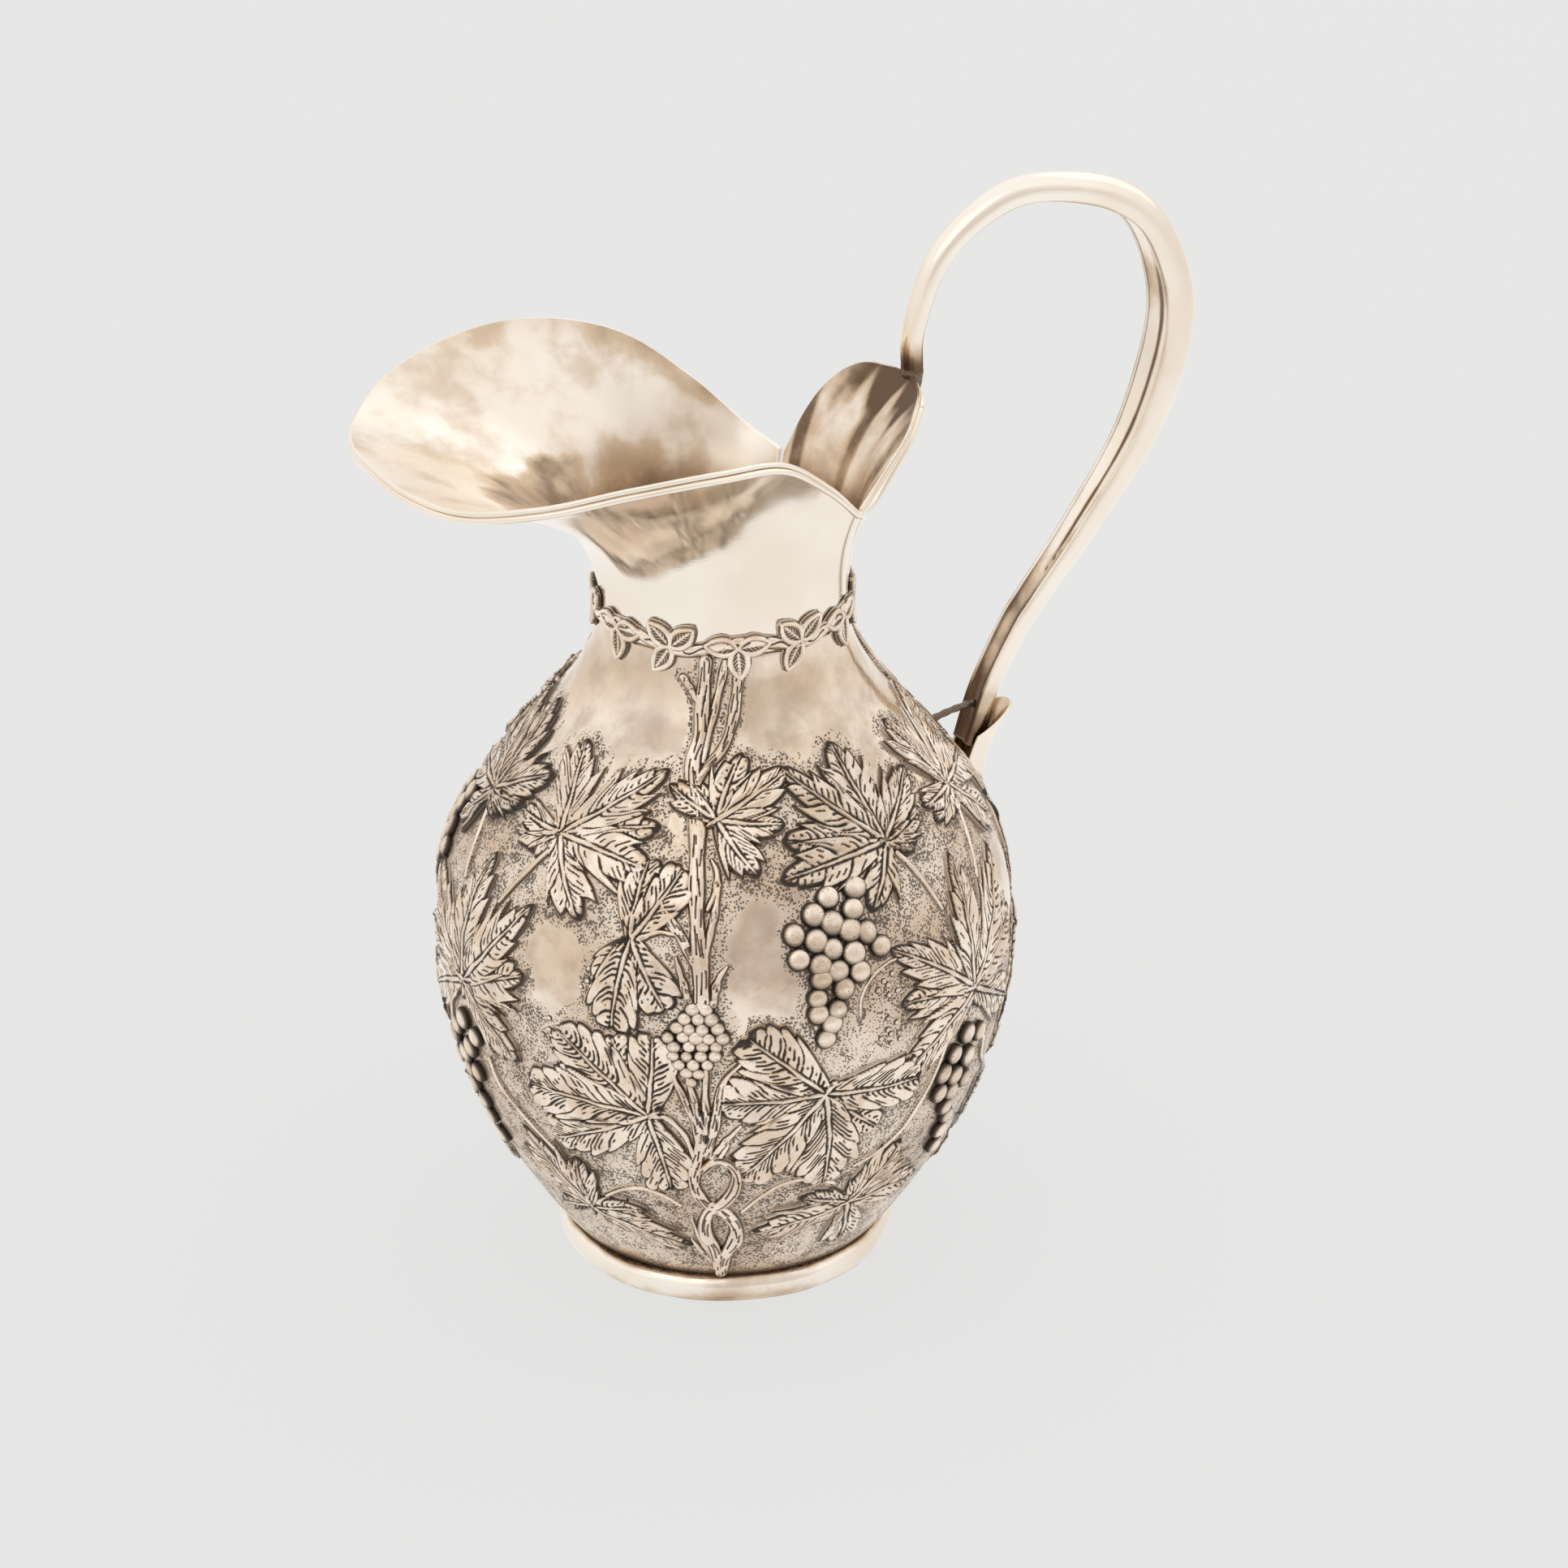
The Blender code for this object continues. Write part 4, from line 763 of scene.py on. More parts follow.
def blend(tree, share, a, b):
    node = node_of(tree, "ShaderNodeMix", {"Factor": share}, data_type="RGBA")
    for socket, value in ((node.inputs[6], a), (node.inputs[7], b)):
        if isinstance(value, tuple):
            socket.default_value = (*value, 1)
        else:
            tree.links.new(value, socket)
    return node.outputs[2]


def plus(tree, a, b):
    return maths(tree, "ADD", a, b)


def times(tree, a, b):
    return maths(tree, "MULTIPLY", a, b)


def noise(tree, place, scale, detail=3.0, roughness=0.55):
    values = {"Scale": scale, "Detail": detail, "Roughness": roughness}
    return node_of(tree, "ShaderNodeTexNoise", {"Vector": place}, **values).outputs["Fac"]


def bump(tree, height, strength, distance, over=None):
    """Normals of a bump, laid over those of another where one is given."""
    links = {"Height": height}
    if over is not None:
        links["Normal"] = over
    return node_of(tree, "ShaderNodeBump", links, Strength=strength, Distance=distance).outputs["Normal"]


def plug(tree, shader, links):
    for key, source in links.items():
        tree.links.new(source, shader.inputs[key])


def new_material(name):
    material = bpy.data.materials.new(name)
    material.use_nodes = True
    tree = material.node_tree
    shader = tree.nodes["Principled BSDF"]
    shader.inputs["Metallic"].default_value = 1.0
    place = node_of(tree, "ShaderNodeTexCoord").outputs["Object"]
    return material, tree, shader, place


def silver_tone(tree, place, scale, bright, warm, grey):
    """Cloudy silver, from bright to warm with some greyed patches."""
    cloud = ramp(tree, noise(tree, place, scale), 0.36, 0.66)
    patch = ramp(tree, noise(tree, place, scale * 0.43, 4.0), 0.50, 0.72, 0.0, 0.75)
    return blend(tree, patch, blend(tree, cloud, bright, warm), grey)


def relief_material():
    """Cast and chased relief: pale faces, dark oxide in the grooves, and painted shade along edges and on the
    grapes.
    """
    material, tree, shader, place = new_material("cast_silver")
    tone = silver_tone(tree, place, RELIEF_CLOUDS, BRIGHT, WARM, GREY)
    speck = ramp(tree, noise(tree, place, SPECKS, 2.0), 0.60, 0.72, 0.0, 0.35)
    dark = plus(tree, mark_of(tree, "dark"), speck)
    edge = ramp(tree, dark, 0.18, 0.95)
    stain_and_shade = ramp(tree, dark, 0.05, 0.55, 0.0, 0.7)
    satin = ramp(tree, noise(tree, place, SATIN_GRAIN), 0.3, 0.7, 0.14, 0.25)
    plug(tree, shader, {
        "Base Color": blend(tree, edge, blend(tree, stain_and_shade, tone, BROWN), OXIDE_AND_SHADE),
        "Roughness": plus(tree, satin, times(tree, edge, OXIDE_ROUGH)),
        "Metallic": ramp(tree, edge, 0.2, 1.0, 1.0, OXIDE_METAL),
        "Normal": bump(tree, noise(tree, place, CAST_SKIN), 0.35, 0.00012),
    })
    return material


def ground_material():
    """Body ground: dark punched dots that crowd beside the relief, painted shade in brown and black beside
    it, and smooth polished windows.
    """
    material, tree, shader, place = new_material("chased_silver")
    tone = silver_tone(tree, place, GROUND_CLOUDS, BRIGHT, WARM, GREY)
    cells = node_of(tree, "ShaderNodeTexVoronoi", {"Vector": place}, Scale=DOTS, feature="F1", Randomness=0.9)
    near = mark_of(tree, "dark")
    ragged = ramp(tree, noise(tree, place, RAGGED_EDGE, 4.0), 0.3, 0.7, -0.3, 0.3)
    punched = ramp(tree, plus(tree, mark_of(tree, "stipple"), ragged), 0.30, 0.62)
    uneven = ramp(tree, noise(tree, place, DOT_DRIFT, 4.0), 0.35, 0.65, 0.20, 0.47)
    reach = times(tree, punched, plus(tree, uneven, times(tree, near, 0.45)))
    dot = ramp(tree, maths(tree, "SUBTRACT", cells.outputs["Distance"], reach), -0.08, 0.04, 1.0, 0.0)
    # Black and brown from the dark mark are painted shade beside the relief, with some oxide
    black = maths(tree, "MAXIMUM", times(tree, dot, 0.78), ramp(tree, near, 0.5, 1.0))
    cloud = ramp(tree, noise(tree, place, WASH_CLOUDS, 6.0, 0.62), 0.40, 0.66, 0.06, 0.70)
    fog = times(tree, mark_of(tree, "wash"), cloud)
    shade_and_grime = times(tree, punched, ramp(tree, near, 0.0, 0.6, 0.14, 0.55))
    stain_and_shade = maths(tree, "MAXIMUM", fog, shade_and_grime)
    pits = bump(tree, maths(tree, "SUBTRACT", 1.0, dot), 0.6, 0.0002)
    plug(tree, shader, {
        "Base Color": blend(tree, black, blend(tree, stain_and_shade, tone, BROWN), OXIDE_AND_SHADE),
        "Roughness": plus(tree, ramp(tree, punched, 0.0, 1.0, 0.16, 0.30), times(tree, black, OXIDE_ROUGH)),
        "Metallic": ramp(tree, black, 0.2, 1.0, 1.0, OXIDE_METAL),
        "Normal": bump(tree, noise(tree, place, GROUND_WAVES), 0.25, 0.0008, pits),
    })
    return material


def polished_material():
    """Polished sheet: warm silver, cloudy tarnish, fine scratches, and where marked dark solder, painted
    shade and painted reflections.
    """
    material, tree, shader, place = new_material("polished_silver")
    tone = silver_tone(tree, place, POLISHED_CLOUDS, POLISH_BRIGHT, POLISH_WARM, POLISH_GREY)
    cloud = ramp(tree, noise(tree, place, TARNISH_CLOUDS, 4.0), 0.3, 0.7, -0.13, 0.13)
    # The dark mark gives tarnish, and painted shade and painted reflections where the pieces mark them
    tarnish = ramp(tree, plus(tree, mark_of(tree, "dark"), cloud), 0.12, 0.85, 0.0, 0.95)
    amber = blend(tree, ramp(tree, tarnish, 0.0, 0.5), tone, AMBER)
    smear = ramp(tree, noise(tree, place, SMEARS, 4.0), 0.3, 0.7, 0.07, 0.15)
    satin = plus(tree, times(tree, tarnish, 0.2), times(tree, mark_of(tree, "satin"), 0.16))
    stretch = node_of(tree, "ShaderNodeMapping", {"Vector": place}, Scale=(1.0, 1.0, 9.0))
    scratch = bump(tree, noise(tree, stretch.outputs["Vector"], SCRATCHES, 4.0), 0.12, 0.0001)
    plug(tree, shader, {
        "Base Color": blend(tree, ramp(tree, tarnish, 0.45, 1.0), amber, TARNISH_AND_SHADE),
        "Roughness": plus(tree, smear, satin),
        "Normal": bump(tree, noise(tree, place, DENTS, 2.0), 0.30, 0.0012, scratch),
    })
    return material


RELIEF, GROUND, POLISHED = relief_material(), ground_material(), polished_material()


def dome_points(angle, up, radius, lift, key, rings=8, steps=16):
    """A grape: points and darkness of a bead that sits on the body."""
    tilt = np.linspace(0, BEAD_END, rings)[1:]
    turn = np.linspace(0, 2 * math.pi, steps, endpoint=False)
    wide, tall = radius * (0.93 + 0.16 * chance(key)), radius * (0.93 + 0.14 * chance(key + 1))
    high = min(radius * BEAD_HIGH, BEAD_HIGHEST)
    x = np.concatenate([[0], (wide * np.sin(tilt)[:, None] * np.cos(turn)).ravel()])
    y = np.concatenate([[0], (tall * np.sin(tilt)[:, None] * np.sin(turn)).ravel()])
    z = np.concatenate([[high], np.repeat(high * np.cos(tilt), steps)]) + high * BEAD_RAISED + lift
    # Painted shade on each bead's lower side, then an even darkening that differs from bead to bead
    shade_and_grime = BEAD_UNDER_SHADE * np.sin(tilt)[:, None] * np.maximum(-np.sin(turn), 0)
    shade_and_grime = shade_and_grime + BEAD_GRIME + BEAD_GRIME_MORE * chance(key + 5)
    # Painted shade toward the rim, with oxide where the bead meets the body
    sides = np.clip(BEAD_DARK * spread(tilt, *BEAD_SHADE)[:, None] + shade_and_grime, 0, 1)
    dark = np.concatenate([[0], sides.ravel()])
    points = on_body(angle + x / radius_up(up), up + y, np.maximum(z, 0.02))
    fan = np.stack([np.zeros(steps, int), 1 + np.arange(steps), 1 + (np.arange(steps) + 1) % steps], -1)
    band = grid_faces(rings - 1, steps, True, 1)[:, ::-1]
    return points, dark, fan, band, np.stack([x, y], -1)


def grape_piece(name, beads, radius, lift, vine_angle, replaced):
    """A bunch of beads as one piece; the chart has a square for each."""
    found, start = [], 0
    for number, (degrees, up) in enumerate(beads):
        size = radius * (1.03 - 0.17 * number / len(beads) + 0.10 * chance(number * 2.7 + radius))
        stray = radius * 0.3 * (chance(number * 1.3 + 0.4) - 0.5)
        angle = vine_angle + math.radians(degrees) + stray / float(radius_up(up))
        points, dark, fan, band, flat = dome_points(angle, up + 0.8 * stray, size, lift, number * 3.1)
        square = (number % CHART_BEADS + 0.5, number // CHART_BEADS + 0.5)
        chart = (flat / BEAD_SPAN + square) / CHART_BEADS
        found.append((points, dark, fan + start, band + start, chart))
        start += len(points)
    points, dark, fans, bands, chart = [np.concatenate(part) for part in zip(*found)]
    add_piece(name, points, (fans, bands), RELIEF, replaced, {"dark": dark}, chart)


def leaf_box(lobes):
    reach = max(length for _, length in lobes) + LEAF_MARGIN
    return (-reach, reach, -reach, reach)


RELIEFS = {name: leaf_relief(leaf, 11.0 * n) for n, (name, leaf) in enumerate(LEAVES.items())}
TRUNK_RELIEF = vine_relief(TRUNK_STRANDS, 3.0)
SECOND_RELIEF = vine_relief(SECOND_STRANDS, 8.0)
STEM_RELIEF = vine_relief(STEMS, 5.0)
VINE_PARTS = (
    ("vine_trunk", TRUNK_RELIEF, (-16, 16, 1, TALL + NECK_RUN - 1)),
    ("vine_strand", SECOND_RELIEF, (-9, 9, 4, 66)),
    ("vine_stems", STEM_RELIEF, (-66, 66, 30, 134)),
)


def place_relief(name, vine, mesh, turn, up, top):
    """A relief on one vine; it replaces that vine's node where there is one."""
    x, y, lift, dark, faces, chart = mesh
    node = f"{name}_{vine + 1}"
    ups = np.clip(up + y, 0.2, top)
    points = on_body(FIRST_VINE + vine * SECTOR + turn + x / radius_up(ups), ups, lift)
    replaced = (node,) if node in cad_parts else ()
    add_piece(f"{name}.face_{vine + 1}", points, faces, RELIEF, replaced, {"dark": dark},
              chart)


def missing_leaves(vine):
    return tuple(name for name in LEAVES if f"{name}_{vine + 1}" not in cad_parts)


def make_leaves():
    for name, (degrees, up, lobes, style) in LEAVES.items():
        base = TRUNK_LEAF_RAISED if name == "trunk_leaf" else 0.0
        sample = sample_relief(RELIEFS[name], leaf_box(lobes), RELIEF_STEP, style["wash"])
        mesh = relief_mesh(sample, base, LEAF_SHADE.get(name, 0.0))
        for vine in range(VINES):
            if name not in missing_leaves(vine):
                place_relief(name, vine, mesh, math.radians(degrees), up, TALL - 0.2)


def make_vines():
    for name, relief, box in VINE_PARTS:
        mesh = relief_mesh(sample_relief(relief, box, RELIEF_STEP))
        for vine in range(VINES):
            place_relief(name, vine, mesh, 0.0, 0.0, TALL + NECK_RUN - 0.5)


def make_grapes():
    berries = []
    for degrees, up in BERRY_SPRIGS:
        for k in range(BERRIES):
            out, turn = math.sqrt(k), BERRY_TURN * k
            across, rise = BERRY_PITCH[0] * out * math.cos(turn), BERRY_PITCH[1] * out * math.sin(turn)
            berries.append((degrees + across, up + rise))
    for vine in range(VINES):
        angle = FIRST_VINE + vine * SECTOR
        for name, (beads, radius, lift) in GRAPES.items():
            grape_piece(f"{name}.beads_{vine + 1}", beads, radius, lift, angle, (f"{name}_{vine + 1}",))
        grape_piece(f"berry_sprigs_{vine + 1}", berries, BERRY_RADIUS, BERRY_SUNK, angle, ())


def ground_marks(turn, up, missing):
    """Darkness, stipple and wash of the body's ground at turns from a trunk, in radians, and mm up; the
    darkness is mostly painted shade.
    """
    gap = np.full(turn.shape, FAR_OFF)
    radius = radius_up(up)
    for shift in (-SECTOR, 0, SECTOR):
        for name, (degrees, middle, _, _) in LEAVES.items():
            if name in missing:
                continue
            x, y = (turn + shift - math.radians(degrees)) * radius, up - middle
            inside, _, _ = RELIEFS[name](x, y)
            gap = np.minimum(gap, np.where(np.hypot(x, y) < LEAF_SPAN, np.maximum(-inside, 0), FAR_OFF))
        for _, relief, _ in VINE_PARTS:
            inside, _, _ = relief((turn + shift) * radius, up)
            gap = np.minimum(gap, np.maximum(-inside, 0))
        for beads, size, _ in GRAPES.values():
            for degrees, middle in beads:
                far = np.hypot((turn + shift - math.radians(degrees)) * radius, up - middle) - size
                gap = np.minimum(gap, np.maximum(far, 0))
    degrees = np.degrees(turn)
    window = spread(up, *SHOULDER_WINDOW)
    for middle, wide, centre, tall in WINDOWS:
        far = np.hypot((degrees - middle) / wide, (up - centre) / tall)
        window = np.maximum(window, fade(far, 0.75, 1.2))
    window = window * spread(gap, 0.5, 2.0)
    grow_up, grow_turn = np.gradient(gap)
    steep = np.hypot(grow_up, grow_turn) + 1e-6
    # Painted shade beside the relief, stronger where the ground faces right and down, with some oxide right
    # at its edge
    close = SHADE_CLOSE * np.exp(-gap / SHADE_REACH)
    wide = SHADE_WIDE * np.exp(-gap / WIDE_REACH) * (1 - 0.7 * window)
    shade = lee_shade(grow_turn / steep, grow_up / steep) * np.maximum(close, wide)
    # Painted shade at the body's foot by the ring, and a little more toward the bottom
    root = 0.45 * fade(up, 1.5, 8.0) + 0.5 * fade(up, 0.0, 1.6)
    shade = np.maximum(shade, root) + 0.10 * fade(up, 25, 75)
    # The wash: cloudy tarnish on the windows, grown toward the relief as painted shade
    return shade, 1 - 0.95 * window, window * (WINDOW_WASH + WINDOW_EDGE_SHADE * np.exp(-gap / EDGE_SHADE_REACH))


def make_body():
    columns = VINES * SECTOR_COLUMNS
    turn = np.linspace(-SECTOR / 2, SECTOR / 2, SECTOR_COLUMNS, endpoint=False)
    ups = np.linspace(0, TALL, BODY_ROWS)
    grounds, thirds = {}, []
    for vine in range(VINES):
        missing = missing_leaves(vine)
        if missing not in grounds:
            grounds[missing] = ground_marks(*np.meshgrid(turn, ups), missing)
        thirds.append(grounds[missing])
    marks = {}
    for (mark, (inside, under)), parts in zip(INSIDE_MARKS.items(), zip(*thirds)):
        outside = np.concatenate(parts, axis=1).ravel()
        marks[mark] = np.concatenate([outside, np.full(INNER_ROWS * columns + 1, inside), [under]])
    angle = np.concatenate([FIRST_VINE + vine * SECTOR + turn for vine in range(VINES)])
    outer = on_body(*np.meshgrid(angle, ups), 0.0)
    inner_z = np.linspace(NECK_Z, BASE_Z + WALL, INNER_ROWS)
    inner_r = body_radius(inner_z) - WALL
    inner = in_room(angle[None, :], inner_r[:, None], np.repeat(inner_z[:, None], columns, 1))
    grid = np.concatenate([outer, inner])
    floor = np.array([in_room(0.0, 0.0, BASE_Z + WALL), in_room(0.0, 0.0, BASE_Z)])
    count = len(grid) * columns
    around = np.arange(columns)
    nxt = (around + 1) % columns
    last = (len(grid) - 1) * columns
    inside_floor = np.stack([np.full(columns, count), last + nxt, last + around], -1)[:, ::-1]
    underside = np.stack([np.full(columns, count + 1), nxt, around], -1)
    across, along = np.meshgrid(np.linspace(0.01, 0.99, columns), np.concatenate(
        [np.linspace(0.01, 0.76, BODY_ROWS), np.linspace(0.78, 0.96, INNER_ROWS)]))
    chart = np.concatenate([np.stack([across, along], -1).reshape(-1, 2), [(0.5, 0.975), (0.5, 0.985)]])
    add_piece("body_shell.chased", np.concatenate([grid.reshape(-1, 3), floor]),
              (grid_faces(len(grid), columns, True), inside_floor, underside), GROUND,
              ("body_shell",), marks, chart)


def sheet_normals(grid):
    """Unit normals of a grid of points, from its rows and columns."""
    return unit(np.cross(np.gradient(grid, axis=1), np.gradient(grid, axis=0)))


def neck_piece(name, line, facing, darkness):
    """A flaring sheet with a rounded edge: outer face, edge and inner face in one closed grid."""
    share = np.linspace(0, 1, NECK_ROWS)[:, None]
    angle = line[None, :, 0] + facing
    radius = NECK_R + (line[None, :, 1] - NECK_R) * share ** FLARE_POWER
    z = NECK_Z + SEAT_GAP + (line[None, :, 2] - NECK_Z - SEAT_GAP) * share
    outer = in_room(np.repeat(angle, NECK_ROWS, 0), radius, z)
    normal = sheet_normals(outer)
    inner = outer - normal * WALL * MM
    rise = unit(outer[-1] - outer[-2])
    drop = rise * EDGE_DROP * MM
    edge = [(outer[-1] + inner[-1]) / 2 - drop
            + (normal[-1] * math.cos(t) + rise * math.sin(t)) * WALL / 2 * MM
            for t in np.linspace(EDGE_START, math.pi - EDGE_START, EDGE_ROWS)]
    outer[-1] -= drop
    inner[-1] -= drop
    grid = np.concatenate([outer, edge, inner[::-1]])
    face = np.repeat((0.0, 0.5, 1.0), (NECK_ROWS, EDGE_ROWS, NECK_ROWS))[:, None]
    up = np.concatenate([share, np.ones((EDGE_ROWS, 1)), share[::-1]])
    height, columns = grid.shape[:2]
    add_grid(f"{name}.sheet", grid, (grid_faces(height, columns), fold_faces(height, columns)), POLISHED,
             (name,), {"dark": darkness(up, line[None, :, 0], face), "satin": face})
    return outer, normal, rise


def tube_piece(name, centres, normal, binormal, radii, material, replaced, dark, steps=14):
    """A tube along points in metres, with its own two directions and radius at each point."""
    turn = np.linspace(0, 2 * math.pi, steps, endpoint=False)[None, :, None]
    rings = centres[:, None] + radii[:, None, None] * (np.cos(turn) * normal[:, None]
                                                        + np.sin(turn) * binormal[:, None])
    add_grid(name, rings, [grid_faces(len(centres), steps, True)], material, replaced, {"dark": dark})


def spout_darkness(share, turn, face):
    """Inside the spout: tarnish over the inner face and along the far edge, painted shade deep in its throat,
    and a painted reflection in a pool with a ragged shore.
    """
    # Painted shade deep in the throat
    low = THROAT_SHADE * fade(share, 0.28, 0.66)
    # Painted reflection: a pool on one side with a ragged shore
    shore = 0.78 + 0.25 * turn + 0.016 * np.sin(turn * 19) + 0.006 * np.sin(turn * 57)
    side = spread(turn, -1.0, -0.7) * fade(turn, 0.3, 0.6)
    pool = POOL_REFLECTION * side * fade(share, shore - 0.02, shore + 0.02)
    far_edge = FAR_EDGE_DARK * spread(share, 0.84, 1.0) * spread(-turn, 0.7, 1.2)
    far_edge = far_edge * fade(-turn, 1.9, 2.3)
    return face * (SPOUT_DARK + np.maximum(low, pool) + far_edge)


def lip_darkness(share, turn, face):
    """Tarnish of the back lip: a ragged dark top by the handle, and streaks down its inner face."""
    ragged = 0.05 * np.sin(turn * 23) + 0.03 * np.sin(turn * 51 + 1)
    top = spread(share + ragged, 0.80, 0.97) * fade(np.abs(turn), 0.22, 0.50)
    streak = spread(np.sin(turn * 13 + 0.8) + 0.4 * np.sin(turn * 37), 0.1, 1.0) * spread(share, 0.2, 0.5)
    low = LIP_THROAT * fade(share, 0.2, 0.6)
    return LIP_EDGE_DARK * top * (0.25 + 0.75 * face) + face * (LIP_DARK + LIP_STREAK * streak + low)


def make_neck():
    for name, wire, line, facing, darkness in (
            ("neck_spout", "spout_rim_wire", SPOUT_LINE, math.pi, spout_darkness),
            ("neck_back_lip", "back_rim_wire", LIP_LINE, 0.0, lip_darkness)):
        outer, normal, rise = neck_piece(name, line, facing, darkness)
        keep = slice(2, -2)
        centres = outer[-1] + (normal[-1] * (RIM_WIRE + WIRE_OUT) - rise * (RIM_WIRE - WIRE_DROP)) * MM
        count = len(centres[keep])
        ends = np.minimum(np.linspace(0, WIRE_TAPER, count), np.linspace(WIRE_TAPER, 0, count))
        radii = RIM_WIRE * 0.98 * MM * np.sqrt(np.clip(ends, 0.02, 1))
        tube_piece(f"{wire}.drawn", centres[keep], normal[-1][keep], rise[keep], radii, POLISHED,
                   (wire,), RIM_DARK)


def leaflet_relief(x, y, turn):
    """A small pointed leaf with a raised border and a hatched middle, from its stalk end."""
    along, off = along_and_off(x, y, turn)
    share = np.clip(along / LEAFLET_LENGTH, 0, 1)
    half = LEAFLET_HALF * np.sin(np.pi * share ** 0.85) ** 0.7
    within = (along > 0) & (along < LEAFLET_LENGTH)
    inside = np.where(within, (half - np.abs(off)) * 0.85, -1.0 - np.abs(off))
    border = ridge(inside - 0.55, 0.5)
    core = spread(inside, 1.05, 1.3)
    hatch = 0.5 + 0.5 * np.cos((along - np.abs(off)) * 2 * np.pi / HATCH_PITCH)
    rib = ridge(off, 0.28)
    rim = ridge(inside - 1.12, 0.14)
    lift = 0.75 + 0.5 * border - core * (0.14 + 0.16 * hatch) + 0.30 * rib * core
    dark = core * (0.06 + 0.36 * hatch) * (1 - rib) + 0.32 * rim + 0.2 * fade(inside, 0, 0.2)
    return inside, lift, np.clip(dark, 0, 1)


def collar_wave(turn):
    """Height of the garland's ring at these turns."""
    return COLLAR_Z + COLLAR_WAVE * np.sin((turn - FIRST_SPRIG) * SPRIGS / 2 + 1.2)


def collar_relief(x, y):
    """The garland unrolled: a waved ring with three-leaf sprigs; x in mm of turn at the neck."""
    turn = x / NECK_R
    across = (y - collar_wave(turn)) / COLLAR_HALF
    depth = COLLAR_HALF * (1 - np.abs(across))
    lift = COLLAR_HIGH * np.sqrt(np.clip(1 - 0.85 * across ** 2, 0.02, 1))
    groove = ridge(across - 0.35 * np.sin(turn * 31), 0.16) * (np.sin(turn * 19) > -0.2)
    lift = lift - 0.25 * groove
    dark = np.clip(0.8 * groove + 0.45 * spread(np.abs(across), 0.72, 1.0), 0, 1)
    whole = depth, lift, dark
    for k in range(SPRIGS):
        middle = math.remainder(FIRST_SPRIG + k * 2 * math.pi / SPRIGS, 2 * math.pi)
        away = np.remainder(turn - middle + math.pi, 2 * math.pi) - math.pi
        side, sprig = (SPRIG_RISE, SPRIG_UP) if k % 2 else (SPRIG_SINK, SPRIG_DOWN)
        stalk = collar_wave(middle) + side
        for degrees in sprig:
            inside, face, hatch = leaflet_relief(away * NECK_R, y - stalk, math.radians(degrees))
            whole = lay_over(whole, inside, face + LEAFLET_RAISED, hatch)
    best, lift, dark = whole
    return best, np.maximum(lift, LEAST_LIFT), dark


def make_collar():
    round_neck = 2 * math.pi * NECK_R
    step = round_neck / COLLAR_STEPS
    box = (0.0, round_neck - step, COLLAR_Z - COLLAR_SPAN, COLLAR_Z + COLLAR_SPAN)
    x, y, lift, dark, faces, chart = relief_mesh(sample_relief(collar_relief, box, step, COLLAR_WASH))
    angle = x / NECK_R
    points = in_room(angle, neck_radius(angle, y) + lift + COLLAR_GAP, y)
    add_piece("collar_garland.cast", points, faces, RELIEF, ("collar_garland",),
              {"dark": dark}, chart)


def handle_line(count):
    """Middle line of the handle, lip to foot: reach from the axis, height, half-width."""
    lip = (LIP_REACH, LIP_TOP + WALL + SEAT_GAP)
    rest = float(body_radius(HANDLE_FOOT_Z)) + HANDLE_REST + HANDLE_FOOT_WIDTH / 2
    line = [(lip[0] + out * (HANDLE_REACH - lip[0]), lip[1] + rise * (HANDLE_TOP - lip[1]))
            for out, rise in HANDLE_UPPER]
    line += [(rest + out * (HANDLE_REACH - rest), HANDLE_FOOT_Z + rise * (HANDLE_BULGE_Z - HANDLE_FOOT_Z))
             for out, rise in HANDLE_LOWER]
    line = smooth_line(line, count)
    shares = np.linspace(0, 1, count)
    knots = smooth_line(HANDLE_FULLNESS, 60)
    full = np.interp(shares, knots[:, 0], knots[:, 1])
    ends = HANDLE_LIP_WIDTH + (HANDLE_FOOT_WIDTH - HANDLE_LIP_WIDTH) * shares
    return np.column_stack([line, (ends + (HANDLE_FULL - ends) * np.clip(full, 0, 1)) / 2])


def handle_grid(line, outline):
    """Points of the handle's sections; outline gives side and outward arrays for each half-width."""
    along = unit(np.gradient(line[:, :2], axis=0))
    side, out = outline(line[:, 2][:, None])
    return in_frame(line[:, :1] - along[:, 1:2] * out, side, line[:, 1:2] + along[:, :1] * out)


def shell_outline(half):
    turns = np.linspace(-HANDLE_LIP_TURN, HANDLE_LIP_TURN, SHELL_POINTS)[None, :]
    middle = -half * (1 + math.cos(HANDLE_LIP_TURN)) / 2
    inner = half - HANDLE_WALL
    side = np.concatenate([half * np.sin(turns), inner * np.sin(turns[:, ::-1])], 1)
    out = np.concatenate([half * np.cos(turns) + middle, inner * np.cos(turns[:, ::-1]) + middle], 1)
    return side, out


def strip_outline(half):
    across = np.linspace(-1, 1, STRIP_POINTS)[None, :]
    side = (half - HANDLE_WALL * 0.9) * math.sin(HANDLE_LIP_TURN) * across
    floor = -half * (1 - math.cos(HANDLE_LIP_TURN)) / 2
    face = floor + 0.55 * HANDLE_WALL * (1 - across ** 2) + 0.25
    back = face[:, ::-1] + 0.8 * HANDLE_WALL
    return np.concatenate([side, side[:, ::-1]], 1), np.concatenate([face, back], 1)


def shell_darkness():
    """Darker lips on both faces of the handle's outer sheet."""
    lips = np.zeros((1, 2 * SHELL_POINTS))
    lips[:, [0, 1, SHELL_POINTS - 2, SHELL_POINTS - 1]] = SHELL_LIP_DARK
    return np.maximum(lips, lips[:, ::-1])


